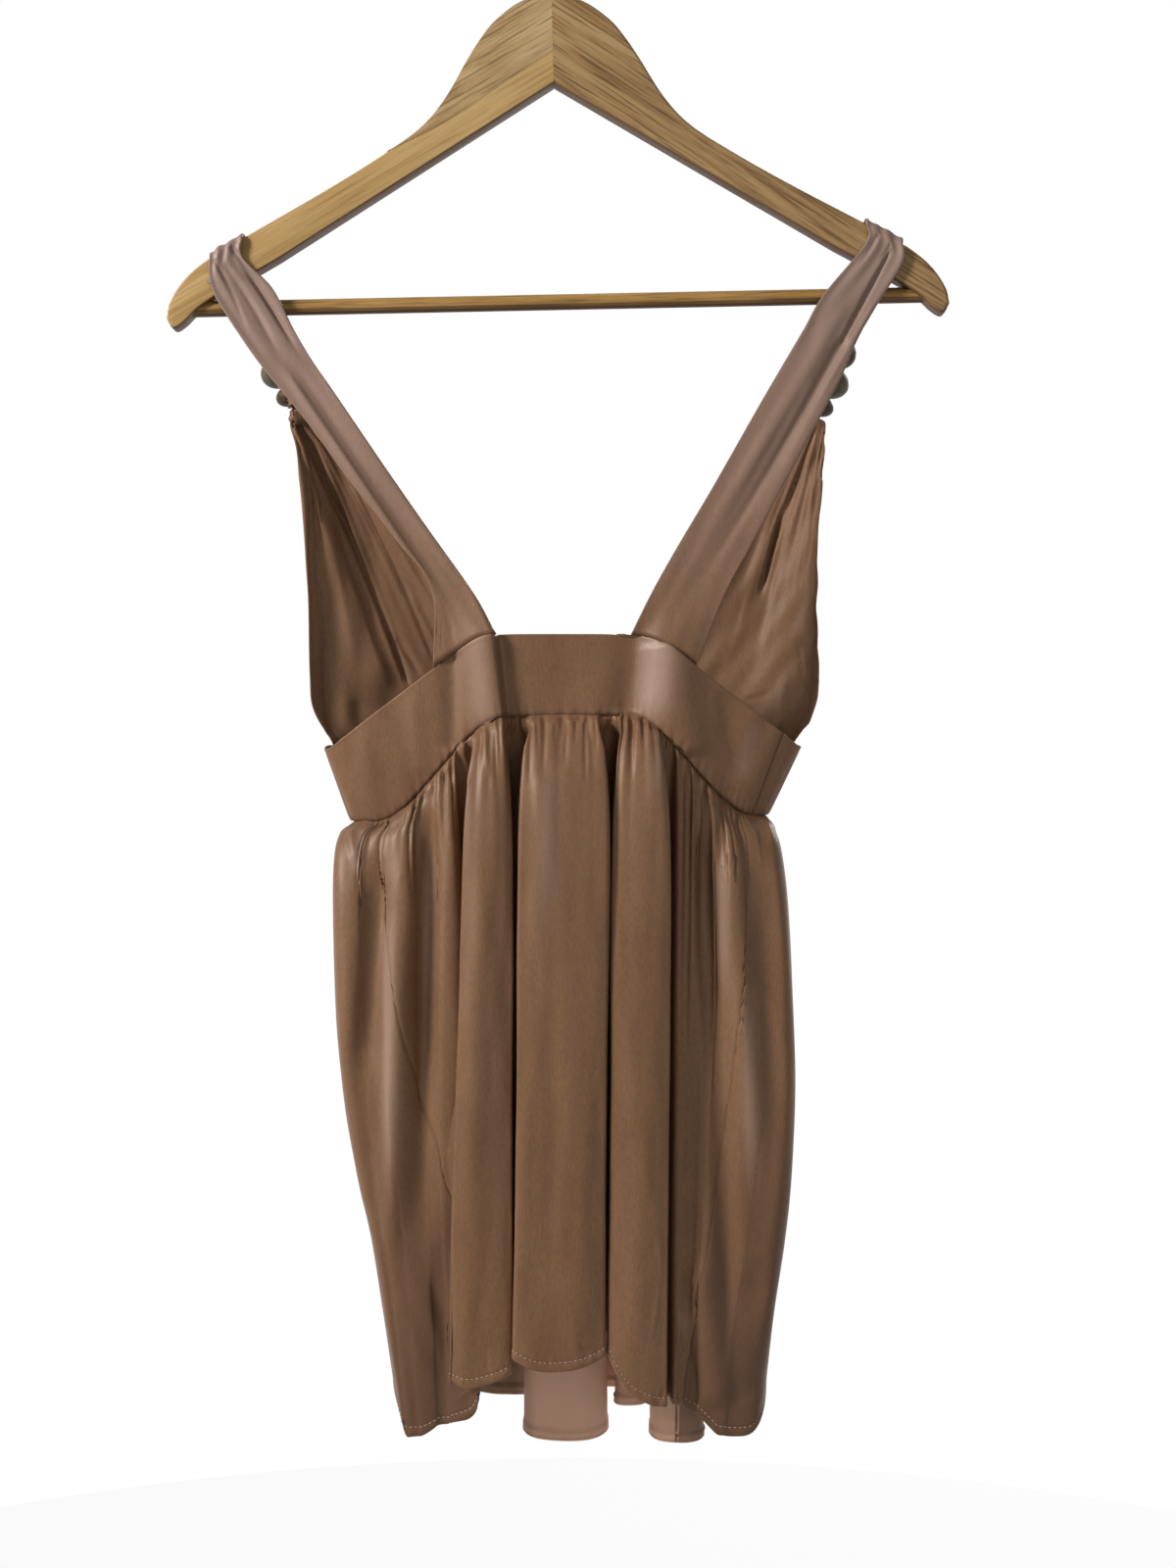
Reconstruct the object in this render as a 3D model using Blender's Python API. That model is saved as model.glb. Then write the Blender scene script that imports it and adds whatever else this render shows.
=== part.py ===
"""Halter dress hung on a wooden hanger.

The origin is the inside top of the hanger's hook, where a rail holds it, and
+Z is up. The dress hangs flat with its back towards -Y: a deep V back with two
wide straps sewn to an arched band, a gathered skirt of four panels, and two
front cups (towards +Y) that are gathered up through three beads on each strap.
Every table and constant is in millimetres; build_mesh() turns them to metres.
"""
import math
from collections import namedtuple

import bmesh
import bpy
import numpy as np
from mathutils import Matrix

# ---------------------------------------------------------------- dimensions
MM = 0.001                      # metres in a millimetre
SEAM = 0.3                      # space left between two pieces that are sewn
WALL = 1.4                      # thickness of the doubled satin jersey
TILT = math.radians(1.15)       # the hanger hangs with its left end low

# Wooden hanger
ARM_THICK = 14.0
ARM_CHAMFER = 1.8
BAR_RADIUS = 4.5
BAR_HEIGHT = -235.0             # centre of the bar below the hook
BAR_END = 208.5                 # the bar stops inside each arm
FIT = 0.3                       # clearance of the bar and hook in their holes

# Steel hook
WIRE_RADIUS = 1.75
HOOK_INSIDE_RADIUS = 18.0
WIRE_SIDES = 12
STEM_END = -74.0
STEM_BEND = -49.0               # the stem starts to bend here
HOOK_JOIN, HOOK_TIP = -48.0, 205.0          # degrees round the hook

# Half of the hanger's outline, from the top of the mitre round to its foot
OutlinePoint = namedtuple("OutlinePoint", "across height")
ARM_TOP = [OutlinePoint(*p) for p in (
    (0.0, -62.5), (17.0, -66.0), (32.5, -77.0), (41.5, -88.0), (49.0, -99.5),
    (62.0, -121.0), (77.0, -137.5), (102.5, -154.5), (135.0, -173.5),
    (176.0, -196.0), (199.0, -209.5), (211.5, -220.5), (219.0, -232.0),
    (221.0, -241.0))]
ARM_FOOT = [OutlinePoint(*p) for p in (
    (217.5, -246.5), (211.5, -243.5), (203.0, -235.5), (189.0, -226.5),
    (157.0, -208.5), (0.0, -112.5))]

# Band: an oval ring, flat as it hangs, wider at its top edge
BandEdge = namedtuple("BandEdge", "left right near far")
BAND_TOP = BandEdge(-128.0, 142.5, 29.0, 31.0)
BAND_BOTTOM = BandEdge(-113.0, 124.0, 27.0, 30.0)
BAND_SQUARENESS = 2.4
BAND_MIDDLE = 9.4               # centre of the back's arch
BACK_TOP_HEIGHT = -424.8        # middle of the arched top edge
BACK_TOP_FLAT = 48.0            # half of its level stretch
BACK_TOP_SLOPE = 0.74
BACK_BOTTOM_HEIGHT = -470.0
BACK_BOTTOM_FLAT = 34.0
BACK_BOTTOM_REACH = 108.0
FRONT_TOP_HEIGHT = -486.0
FRONT_BOTTOM_HEIGHT = -527.5
BAND_LEAN = 0.014               # the left side hangs lower
BAND_SEAM_LEFT = -math.pi - 0.12
BAND_SEAM_RIGHT = -0.45
BAND_ARC = 130.0                # mean radius of the band, for its seams
RECESS_LEFT, RECESS_RIGHT = -24.5, 45.0     # the middle of the back sits back
RECESS_DEPTH = 3.5

# Skirt: where its sides hang at each level, 0 at the band and 1 at the hem
Side = namedtuple("Side", "level left right")
SIDES = [Side(*s) for s in (
    (0.00, -113.0, 124.0), (0.06, -121.0, 130.5), (0.15, -121.4, 134.5),
    (0.30, -120.0, 137.2), (0.45, -116.7, 138.9), (0.60, -110.0, 137.0),
    (0.72, -102.2, 132.8), (0.85, -95.8, 126.7), (1.00, -88.0, 122.0))]
LEVELS = (0.0, 0.015, 0.05, 0.13, 0.28, 0.45, 0.62, 0.8, 1.0)
GATHER_REACH = 0.07             # the gathers open fully below this level
COLUMNS_PER_CORNER = 2
NEAR_SEAM = 0.3                 # no column of the plan comes this close to a seam

# Folds of the skirt, left to right. left/right: edges of the fold's face at the
# band and the hem; face: how far it stands out; gap/gap_hem: depth of the valley
# after it; root_left/root_right: how much further in each wall starts at its
# root; hem_*: height of the hem across the face and in the valley.
Fold = namedtuple("Fold", "name left_top right_top left_hem right_hem face gap gap_hem"
                          " root_left root_right hem_left hem_mid hem_right hem_gap")
BACK_FOLDS = [Fold(*f) for f in (
    ("side_left", None, -92, None, -73.6, -30, -20, -31.5, 0, 0, -866, -873, -873, -872),
    ("narrow_1", -87.6, -69.9, -68.8, -62.3, -33, -17, -32.3, 0, 0, -871, -870, -869, -867),
    ("narrow_2", -65, -50, -57.5, -36, -32, -12, -12, 0, 2, -867, -862, -847, -842),
    ("broad_left", -45.1, -19.8, -53.8, -19.6, -45, -8, -8, 7, 7, -839, -838, -826, -822),
    ("broad_middle", -15.5, 33, -19.3, 31.3, -49, -8, -8, 7, 7, -816, -829, -819, -818),
    ("broad_right", 36.2, 67.2, 32.1, 65.3, -45, -11, -20, 5, 4, -820, -838, -849, -850),
    ("narrow_3", 69.5, 74, 67.5, 71.0, -33, -13, -28, 0, 0, -851, -852, -852, -852),
    ("narrow_4", 77.1, 84, 74.0, 77.4, -30, -15, -31, 0, 0, -853, -854, -855, -856),
    ("narrow_5", 87, 105.1, 81.5, 92.6, -34, -27, -33.3, 0, 0, -857, -861, -866, -868),
    ("side_right", 107.8, None, 97.4, None, -32, 0, 0, 0, 0, -869, -875, -869, 0))]
FRONT_FOLDS = [Fold(*f) for f in (
    ("front_1", -107, -66, -94, -70, 44, 12, 12, 8, 8, -874, -876, -874, -879),
    ("front_2", -50, -5, -52, -5, 54, 8, 8, 10, 17.9, -869, -869, -868, -883),
    ("front_3", 20, 48, 20, 48, 52, 20, 20, 20.8, 15.6, -866, -864, -864, -866),
    ("front_4", 50, 66, 50, 66, 48, 8, 8, 8.5, 15.8, -866, -867, -870, -884),
    ("front_5", 74, 112, 74, 110, 46, 12, 12, 21.9, 10, -872, -872, -872, -868))]
WIDE_FOLD = 22.0                # a fold this wide has a flatter crown
FACE_SHARE = 0.27
CROWN = 1.5
VALLEYS_FADED = 0.55            # level at which the valleys reach their hem depth
SIDE_HEM = -864.0
SKIRT_MIDDLE = 10.0
TUCKED = "narrow_2"             # this fold runs under the one on its right
TUCK_START, TUCK_FULL = 0.40, 0.62
TUCK_WIDTH = 18.0
TUCK_OPEN = 2.5

# Seams of the skirt start down the middle of these valleys. The two behind then
# slant towards the middle, by this many corners of the plan at each level.
SEAM_VALLEYS = ("side_left_gap", "narrow_5_gap", "front_4_gap", "front_1_gap")
Drift = namedtuple("Drift", "level left right")
SEAM_DRIFT = [Drift(*d) for d in (
    (0.00, 0.0, 0.0), (0.13, 0.2, -0.2), (0.28, 0.9, -1.4), (0.45, 2.5, -1.85),
    (0.62, 5.6, -2.2), (0.80, 6.2, -2.8), (1.00, 6.4, -6.3))]

# Straps behind, from the band up to the hanger
StrapStation = namedtuple("StrapStation", "height left right")
LEFT_STRAP = [StrapStation(*s) for s in (
    (-399.0, -65.5, -44.3), (-370.0, -85.3, -65.7), (-339.0, -110.2, -87.8),
    (-307.0, -133.0, -109.9), (-274.0, -159.4, -132.4), (-254.8, -173.1, -143.9),
    (-232.0, -187.5, -156.0))]
RIGHT_STRAP = [StrapStation(*s) for s in (
    (-402.0, 57.1, 97.9), (-377.0, 71.3, 111.1), (-344.0, 91.1, 128.3),
    (-299.6, 116.6, 152.0), (-277.0, 129.9, 163.5), (-255.4, 142.8, 173.0),
    (-236.0, 154.0, 184.0))]
Strap = namedtuple("Strap", "stations band_left band_right arm_left arm_right grooves")
STRAP_COLUMNS = 9
GROOVE_DEPTH = 1.6
GROOVE_WIDTH = 0.09

# Beads on each strap, from the top: a small, a large and a small one
Bead = namedtuple("Bead", "name radius half_height colour")
BEADS = (Bead("top", 9.5, 8.0, "brown"), Bead("middle", 12.6, 9.0, "olive"),
         Bead("bottom", 9.8, 5.6, "brown"))
BEAD_BORE = 3.6
BEAD_DEPTH = 13.0               # how far behind the hanger's middle they hang
BEAD_LEAN = 0.40                # slope of the bead row towards the middle
BEAD_SIDES = 16
NECK_HALF_WIDTH = 2.8           # the cloth is drawn to this inside the beads
NECK_HALF_THICK = 2.5

# Front cups, from below the beads to the band
CupStation = namedtuple("CupStation", "height outer inner")
LEFT_CUP = [CupStation(*s) for s in (
    (-302.0, -149.0, -133.0), (-316.0, -145.5, -118.0), (-339.0, -142.2, -99.0),
    (-361.0, -140.5, -83.0), (-384.0, -139.4, -67.0), (-406.0, -138.2, -53.0),
    (-446.0, -137.5, -26.0), (-466.0, -135.5, -13.0))]
RIGHT_CUP = [CupStation(*s) for s in (
    (-308.0, 157.5, 141.0), (-322.0, 156.0, 128.0), (-339.0, 155.0, 115.0),
    (-361.0, 153.6, 101.0), (-384.0, 153.0, 88.0), (-406.0, 152.5, 72.0),
    (-446.0, 153.8, 40.0), (-466.0, 150.5, 26.0))]
CUP_COLUMNS = 12
CUP_BULGE = 9.0
CUP_WAVES = 3.5
CUP_WAVE_DEPTH = 2.0
CUP_MIDDLE_LEFT, CUP_MIDDLE_RIGHT = 3.5, 9.5    # where the cups meet the band

COLOURS = {
    "satin": ((0.205, 0.132, 0.088), 0.42, 0.0),
    "satin_inside": ((0.235, 0.150, 0.112), 0.45, 0.0),
    "wood_left": ((0.47, 0.33, 0.16), 0.55, 0.0),
    "wood_right": ((0.38, 0.26, 0.12), 0.6, 0.0),
    "steel": ((0.62, 0.62, 0.62), 0.28, 1.0),
    "olive": ((0.095, 0.095, 0.065), 0.4, 0.0),
    "brown": ((0.085, 0.055, 0.038), 0.45, 0.0),
}


# ------------------------------------------------------------------- helpers
def clear_scene():
    for old in list(bpy.data.objects):
        bpy.data.objects.remove(old, do_unlink=True)


def material(name, finish):
    """A sub-part's own Principled material."""
    colour, roughness, metallic = COLOURS[finish]
    new = bpy.data.materials.new(name)
    new.use_nodes = True
    shader = new.node_tree.nodes["Principled BSDF"]
    shader.inputs["Base Color"].default_value = (*colour, 1.0)
    shader.inputs["Roughness"].default_value = roughness
    shader.inputs["Metallic"].default_value = metallic
    return new


def build_mesh(name, points, faces, finish):
    """Object from points in millimetres, with its faces turned outwards."""
    mesh = bpy.data.meshes.new(name)
    mesh.from_pydata([tuple(float(c) * MM for c in p) for p in points], [], faces)
    work = bmesh.new()
    work.from_mesh(mesh)
    bmesh.ops.recalc_face_normals(work, faces=work.faces)
    work.to_mesh(mesh)
    work.free()
    mesh.shade_smooth()
    new = bpy.data.objects.new(name, mesh)
    bpy.context.collection.objects.link(new)
    new.data.materials.append(material(name, finish))
    return new


def holder(name):
    """Empty that a group of pieces hangs from."""
    new = bpy.data.objects.new(name, None)
    bpy.context.collection.objects.link(new)
    return new


def hang_on(parent, *pieces):
    for piece in pieces:
        piece.parent = parent


def sheet(name, outside, inside, finish):
    """Closed wall of cloth between two grids of the same rows and columns."""
    rows, columns = outside.shape[:2]
    count = rows * columns

    def at(side, row, column):
        return side * count + row * columns + column

    faces = []
    for row in range(rows - 1):
        for column in range(columns - 1):
            for side in (0, 1):
                faces.append((at(side, row, column), at(side, row, column + 1),
                              at(side, row + 1, column + 1), at(side, row + 1, column)))
    for row in range(rows - 1):
        for column in (0, columns - 1):
            faces.append((at(0, row, column), at(0, row + 1, column),
                          at(1, row + 1, column), at(1, row, column)))
    for column in range(columns - 1):
        for row in (0, rows - 1):
            faces.append((at(0, row, column), at(0, row, column + 1),
                          at(1, row, column + 1), at(1, row, column)))
    points = np.concatenate([outside.reshape(-1, 3), inside.reshape(-1, 3)])
    return build_mesh(name, points, faces, finish)


def smoothstep(value, start, end):
    t = np.clip((value - start) / (end - start), 0.0, 1.0)
    return t * t * (3.0 - 2.0 * t)


def softplus(value, width):
    return width * np.log1p(np.exp(np.clip(value / width, -40.0, 40.0)))


def spline(points, per_span):
    """Catmull-Rom curve through points, ends included."""
    points = np.asarray(points, float)
    padded = np.vstack([2 * points[0] - points[1], points, 2 * points[-1] - points[-2]])
    curve = []
    for i in range(len(points) - 1):
        a, b, c, d = padded[i:i + 4]
        for t in np.arange(per_span) / per_span:
            curve.append(0.5 * ((2 * b) + (c - a) * t + (2 * a - 5 * b + 4 * c - d) * t ** 2
                                + (3 * b - a - 3 * c + d) * t ** 3))
    curve.append(points[-1])
    return np.array(curve)


# -------------------------------------------------------------------- hanger
def arm_outline():
    top = spline(ARM_TOP, 2)
    foot = spline([ARM_TOP[-1]] + ARM_FOOT[:-1], 2)
    return np.vstack([top, foot[1:], [ARM_FOOT[-1]]])


def hide_cutter(new):
    new.display_type = "WIRE"
    new.hide_render = True
    return new


def rod(name, radius, start, end, sides, finish):
    """Plain round rod between two points given in millimetres."""
    axis = np.subtract(end, start)
    length = float(np.linalg.norm(axis))
    work = bmesh.new()
    bmesh.ops.create_cone(work, cap_ends=True, segments=sides, radius1=radius * MM,
                          radius2=radius * MM, depth=length * MM)
    mesh = bpy.data.meshes.new(name)
    work.to_mesh(mesh)
    work.free()
    new = bpy.data.objects.new(name, mesh)
    bpy.context.collection.objects.link(new)
    direction = axis / length
    if abs(direction[0]) > 0.5:
        mesh.transform(Matrix.Rotation(math.pi / 2, 4, "Y"))
    middle = (np.add(start, end) / 2) * MM
    mesh.transform(Matrix.Translation(middle))
    mesh.materials.append(material(name, finish))
    return new


def hanger_arm(name, side, finish, cutters):
    """One half of the hanger: a flat board with eased edges."""
    outline = arm_outline() * (side, 1.0)
    half = ARM_THICK / 2
    space = side * SEAM / 2
    outline[:, 0] += space
    front = [(x, -half, z) for x, z in outline]
    back = [(x, half, z) for x, z in outline]
    count = len(outline)
    faces = [tuple(range(count)), tuple(range(2 * count - 1, count - 1, -1))]
    faces += [(i, (i + 1) % count, count + (i + 1) % count, count + i)
              for i in range(count)]
    arm = build_mesh(name, front + back, faces, finish)
    work = bmesh.new()
    work.from_mesh(arm.data)
    mitre = (abs(space) + 0.01) * MM
    rims = [e for e in work.edges
            if abs(e.verts[0].co.y - e.verts[1].co.y) < 1e-6
            and max(abs(v.co.x) for v in e.verts) > mitre]
    bmesh.ops.bevel(work, geom=rims, offset=ARM_CHAMFER * MM, segments=1,
                    affect="EDGES", clamp_overlap=True)
    work.to_mesh(arm.data)
    work.free()
    arm.data.set_sharp_from_angle(angle=math.radians(35))
    for cutter in cutters:
        cut = arm.modifiers.new(cutter.name, "BOOLEAN")
        cut.operation = "DIFFERENCE"
        cut.object = cutter
    return arm


def hanger_hook():
    """Steel hook: a stem, a reverse bend and three quarters of a circle."""
    radius = HOOK_INSIDE_RADIUS + WIRE_RADIUS
    centre = -HOOK_INSIDE_RADIUS
    join = math.radians(HOOK_JOIN)
    first = np.array((0.0, STEM_BEND))
    last = np.array((radius * math.cos(join), centre + radius * math.sin(join)))
    heading = np.array((-math.sin(join), math.cos(join)))
    route = [(0.0, z) for z in np.linspace(STEM_END, STEM_BEND, 4)[:-1]]
    for t in np.linspace(0.0, 1.0, 8)[:-1]:
        a, b = first + (0.0, 7.0), last - heading * 9.0
        route.append(tuple((1 - t) ** 3 * first + 3 * (1 - t) ** 2 * t * a
                           + 3 * (1 - t) * t * t * b + t ** 3 * last))
    for angle in np.linspace(join, math.radians(HOOK_TIP), 22):
        route.append((radius * math.cos(angle), centre + radius * math.sin(angle)))
    return wire("hanger_hook", np.array(route), "steel")


def wire(name, route, finish):
    """Round wire along an upright plane route of (across, height)."""
    along = np.gradient(route, axis=0)
    along /= np.linalg.norm(along, axis=1, keepdims=True)
    points, faces = [], []
    for (x, z), (run_x, run_z) in zip(route, along):
        for turn in np.arange(WIRE_SIDES) * 2 * math.pi / WIRE_SIDES:
            out = WIRE_RADIUS * math.cos(turn)
            points.append((x + run_z * out, WIRE_RADIUS * math.sin(turn), z - run_x * out))
    for ring in range(len(route) - 1):
        for i in range(WIRE_SIDES):
            a, b = ring * WIRE_SIDES + i, ring * WIRE_SIDES + (i + 1) % WIRE_SIDES
            faces.append((a, b, b + WIRE_SIDES, a + WIRE_SIDES))
    faces.append(tuple(range(WIRE_SIDES)))
    faces.append(tuple(range(len(points) - 1, len(points) - WIRE_SIDES - 1, -1)))
    return build_mesh(name, points, faces, finish)


def make_hanger():
    reach = BAR_END + FIT
    bar_hole = hide_cutter(rod("bar_hole", BAR_RADIUS + FIT, (-reach, 0, BAR_HEIGHT),
                               (reach, 0, BAR_HEIGHT), 16, "steel"))
    stem_hole = hide_cutter(rod("stem_hole", WIRE_RADIUS + FIT + 0.1,
                                (0, 0, STEM_END - FIT), (0, 0, -50.0), 12, "steel"))
    cutters = (bar_hole, stem_hole)
    bar = rod("hanger_bar", BAR_RADIUS, (-BAR_END, 0, BAR_HEIGHT),
              (BAR_END, 0, BAR_HEIGHT), 16, "wood_left")
    bar.data.shade_smooth()
    bar.data.set_sharp_from_angle(angle=math.radians(40))
    hanger = holder("hanger")
    hang_on(hanger, bar_hole, stem_hole, bar, hanger_hook(),
            hanger_arm("hanger_arm_left", -1, "wood_left", cutters),
            hanger_arm("hanger_arm_right", 1, "wood_right", cutters))
    hanger.rotation_euler = (0.0, -TILT, 0.0)


def arm_top_height(across):
    """Height of the arm's top edge at a place across, as the hanger hangs."""
    curve = spline(ARM_TOP, 4)
    side = 1.0 if across > 0 else -1.0
    x = side * curve[:, 0] * math.cos(TILT) - curve[:, 1] * math.sin(TILT)
    z = side * curve[:, 0] * math.sin(TILT) + curve[:, 1] * math.cos(TILT)
    order = np.argsort(x)
    return float(np.interp(across, x[order], z[order]))


# ---------------------------------------------------------------------- band
def band_oval(angle, level):
    """Plan of the band: -pi is its left side, -pi/2 the back, 0 the right."""
    left, right, near, far = (np.add(np.multiply(BAND_TOP, 1 - level),
                                     np.multiply(BAND_BOTTOM, level)))
    power = 2.0 / BAND_SQUARENESS
    cosine, sine = np.cos(angle), np.sin(angle)
    x = (left + right) / 2 + (right - left) / 2 * np.sign(cosine) * np.abs(cosine) ** power
    depth = np.where(sine < 0, near, far)
    y = depth * np.sign(sine) * np.abs(sine) ** power
    behind = smoothstep(-sine, 0.3, 0.8)
    recess = (smoothstep(x, RECESS_LEFT - 4, RECESS_LEFT)
              * (1 - smoothstep(x, RECESS_RIGHT, RECESS_RIGHT + 4)))
    ridges = (np.exp(-((x - RECESS_LEFT + 14) / 10) ** 2)
              + np.exp(-((x - RECESS_RIGHT - 14) / 10) ** 2))
    return x, y + behind * (RECESS_DEPTH * recess - 1.5 * ridges)


def band_angle(across, level, behind=True):
    """Angle at which the band's plan has a given place across."""
    left = BAND_TOP.left * (1 - level) + BAND_BOTTOM.left * level
    right = BAND_TOP.right * (1 - level) + BAND_BOTTOM.right * level
    share = np.clip((across - (left + right) / 2) / ((right - left) / 2), -0.999, 0.999)
    cosine = np.sign(share) * np.abs(share) ** (BAND_SQUARENESS / 2.0)
    angle = np.arccos(cosine)
    return -angle if behind else angle


def band_heights(angle):
    """Heights of the band's top and bottom edges at an angle round it."""
    x_top = band_oval(angle, 0.0)[0]
    x_bottom = band_oval(angle, 1.0)[0]
    top_drop = BACK_TOP_SLOPE * softplus(np.abs(x_top - BAND_MIDDLE) - BACK_TOP_FLAT, 5.0)
    bottom_drop = ((BACK_BOTTOM_HEIGHT - FRONT_BOTTOM_HEIGHT)
                   * smoothstep(np.abs(x_bottom - BAND_MIDDLE), BACK_BOTTOM_FLAT,
                                BACK_BOTTOM_REACH))
    front = smoothstep(np.sin(angle), -0.45, 0.25)
    top = (BACK_TOP_HEIGHT - top_drop) * (1 - front) + FRONT_TOP_HEIGHT * front
    bottom = (BACK_BOTTOM_HEIGHT - bottom_drop) * (1 - front) + FRONT_BOTTOM_HEIGHT * front
    return top, bottom + BAND_LEAN * (x_bottom - BAND_MIDDLE)


def band_point(angle, level):
    top, bottom = band_heights(angle)
    x, y = band_oval(angle, level)
    return np.stack([x, y, top * (1 - level) + bottom * level], axis=-1)


def flat_normals(grid, along):
    """Level directions square to a wall, from its steps along each row."""
    normal = np.stack([along[..., 1], -along[..., 0], np.zeros(grid.shape[:-1])], axis=-1)
    return normal / np.linalg.norm(normal, axis=-1, keepdims=True)


# --------------------------------------------------------------------- skirt
# A corner of the plan: angle is where it is gathered into the band, band and
# hem are its place across and its depth at the two ends of the skirt.
Corner = namedtuple("Corner", "name angle band hem hem_height")
SIDE_ANGLE = 0.16               # half of the band's end that each side takes
SIDE_DEPTH = 13.0


def fold_corners(fold, behind):
    """Corners of a fold's face, left to right."""
    corners = []
    forward = -1.0 if behind else 1.0
    band, hem = (fold.left_top, fold.right_top), (fold.left_hem, fold.right_hem)
    wide = band[1] - band[0] > WIDE_FOLD
    shares = (0.0, FACE_SHARE, 1.0 - FACE_SHARE, 1.0) if wide else (0.0, 1.0)
    heights = ((fold.hem_left, fold.hem_mid, fold.hem_mid, fold.hem_right) if wide
               else (fold.hem_left, fold.hem_right))
    for share, height in zip(shares, heights):
        # A rounded corner falls short of its control point where the wall
        # leans in under the face, so the point is moved out by that much.
        outward, root = {0.0: (-1.0, fold.root_left),
                         1.0: (1.0, fold.root_right)}.get(share, (0.0, 0.0))
        depth = fold.face + (forward * CROWN if 0.0 < share < 1.0 else 0.0)
        places = []
        for low, high in (band, hem):
            run = (high - low) * (FACE_SHARE if wide else 1.0)
            lean = outward * run * root / (2 * (run + root))
            places.append((low + (high - low) * share + lean, depth))
        gathered = band[0] + (band[1] - band[0]) * (0.04 + 0.92 * share)
        angle = float(band_angle(gathered, 1.0, behind))
        corners.append(Corner(fold.name, angle, places[0], places[1], height))
    return corners


def valley_corners(fold, following, behind):
    """The two corners at the bottom of the valley between two folds."""
    room = following.left_top - fold.right_top
    hem_room = following.left_hem - fold.right_hem
    faded = float(smoothstep(abs(fold.gap_hem), abs(fold.gap), abs(fold.face)))
    corners = []
    for share, edges, inward, apart in (
            (0.3, (fold.right_top, fold.right_hem), -fold.root_right, 0.3),
            (0.7, (following.left_top, following.left_hem), following.root_left, -0.3)):
        angle = float(band_angle(fold.right_top + room * share, 1.0, behind))
        hem = edges[1] + inward + apart * hem_room * faded
        corners.append(Corner(fold.name + "_gap", angle, (edges[0] + inward, fold.gap),
                              (hem, fold.gap_hem), fold.hem_gap))
    return corners


def chain(folds, behind):
    corners = []
    for i, fold in enumerate(folds):
        corners += fold_corners(fold, behind)
        if i + 1 < len(folds):
            corners += valley_corners(fold, folds[i + 1], behind)
    return corners


def side_corners(name, middle, across_band, across_hem, turning):
    return [Corner(name, middle - SIDE_ANGLE, (across_band, turning * SIDE_DEPTH),
                   (across_hem, turning * SIDE_DEPTH), SIDE_HEM),
            Corner(name, middle + SIDE_ANGLE, (across_band, -turning * SIDE_DEPTH),
                   (across_hem, -turning * SIDE_DEPTH), SIDE_HEM)]


def skirt_ring():
    """All corners of the skirt's plan, from its left side round the back."""
    top, foot = SIDES[0], SIDES[-1]
    back = list(BACK_FOLDS)
    back[0] = back[0]._replace(left_top=top.left + 2, left_hem=foot.left + 6)
    back[-1] = back[-1]._replace(right_top=top.right - 2, right_hem=foot.right - 6)
    ring = side_corners("left", -math.pi, top.left, foot.left, 1.0)
    ring += chain(back, True)
    ring += side_corners("right", 0.0, top.right, foot.right, -1.0)
    ring += chain(FRONT_FOLDS, False)[::-1]
    return ring


RING = skirt_ring()
FIRST = {}
for place, corner in enumerate(RING):
    FIRST.setdefault(corner.name, place)


def side_bulge(level, across):
    """How far the skirt's rounded sides move a place across at a level."""
    levels = [side.level for side in SIDES]
    moved = 0.0
    for column, sign in (("left", -1.0), ("right", 1.0)):
        sizes = [getattr(side, column) for side in SIDES]
        straight = sizes[0] * (1 - level) + sizes[-1] * level
        reach = smoothstep(sign * (across - SKIRT_MIDDLE), 60.0, 112.0)
        moved += (np.interp(level, levels, sizes) - straight) * reach
    return moved


def corner_places(level):
    """Plan of every corner at a level, with the tucked fold laid under."""
    shares = np.array((level, smoothstep(level, 0.0, VALLEYS_FADED)))
    places = np.array([np.multiply(c.band, 1 - shares) + np.multiply(c.hem, shares)
                       for c in RING])
    places[:, 0] += side_bulge(level, places[:, 0])
    edge = FIRST[TUCKED] + 1
    valley_left, valley_right, following = edge + 1, edge + 2, edge + 3
    closing = float(smoothstep(level, TUCK_START, TUCK_FULL))
    under = max(0.0, (level - TUCK_FULL) / (1.0 - TUCK_FULL)) * TUCK_WIDTH
    tucked_edge = places[following, 0] - TUCK_OPEN + under
    layer = (places[edge, 1] + places[following, 1]) / 2
    targets = {edge: (tucked_edge, places[edge, 1]),
               valley_left: (tucked_edge, layer + 1.5),
               valley_right: (places[following, 0], layer - 0.5)}
    for place, target in targets.items():
        places[place] = places[place] * (1 - closing) + np.array(target) * closing
    return places


def round_off(values, places, lap=0.0):
    """Quadratic B-spline through values at ring places, adding lap each time round."""
    nearest = np.floor(places + 0.5).astype(int)
    t = places - nearest + 0.5
    weights = ((1 - t) ** 2 / 2, 0.5 + t * (1 - t), t * t / 2)
    total = 0.0
    for step, weight in zip((-1, 0, 1), weights):
        turns, index = np.divmod(nearest + step, len(RING))
        if values.ndim > 1:
            total = total + weight[:, None] * values[index]
        else:
            total = total + weight * (values[index] + lap * turns)
    return total


ANGLES = np.array([c.angle for c in RING])
HEM_HEIGHTS = np.array([float(c.hem_height) for c in RING])


def ring_angles(places):
    return round_off(ANGLES, places, 2 * math.pi)


def skirt_row(places, level):
    """Points of the skirt's outer face at ring places for one level."""
    band = band_point(ring_angles(places), 1.0)
    folded = round_off(corner_places(level), places)
    opened = float(smoothstep(level, -0.2 * GATHER_REACH, GATHER_REACH)) if level else 0.0
    plan = band[:, :2] * (1 - opened) + folded * opened
    height = (band[:, 2] - SEAM) * (1 - level) + round_off(HEM_HEIGHTS, places) * level
    return np.column_stack([plan, height])


def seam_places(level):
    """Ring places of the four seams at a level."""
    levels = [d.level for d in SEAM_DRIFT]
    drifts = (np.interp(level, levels, [d.left for d in SEAM_DRIFT]),
              np.interp(level, levels, [d.right for d in SEAM_DRIFT]), 0.0, 0.0)
    return [FIRST[valley] + 0.5 + drift for valley, drift in zip(SEAM_VALLEYS, drifts)]


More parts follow.
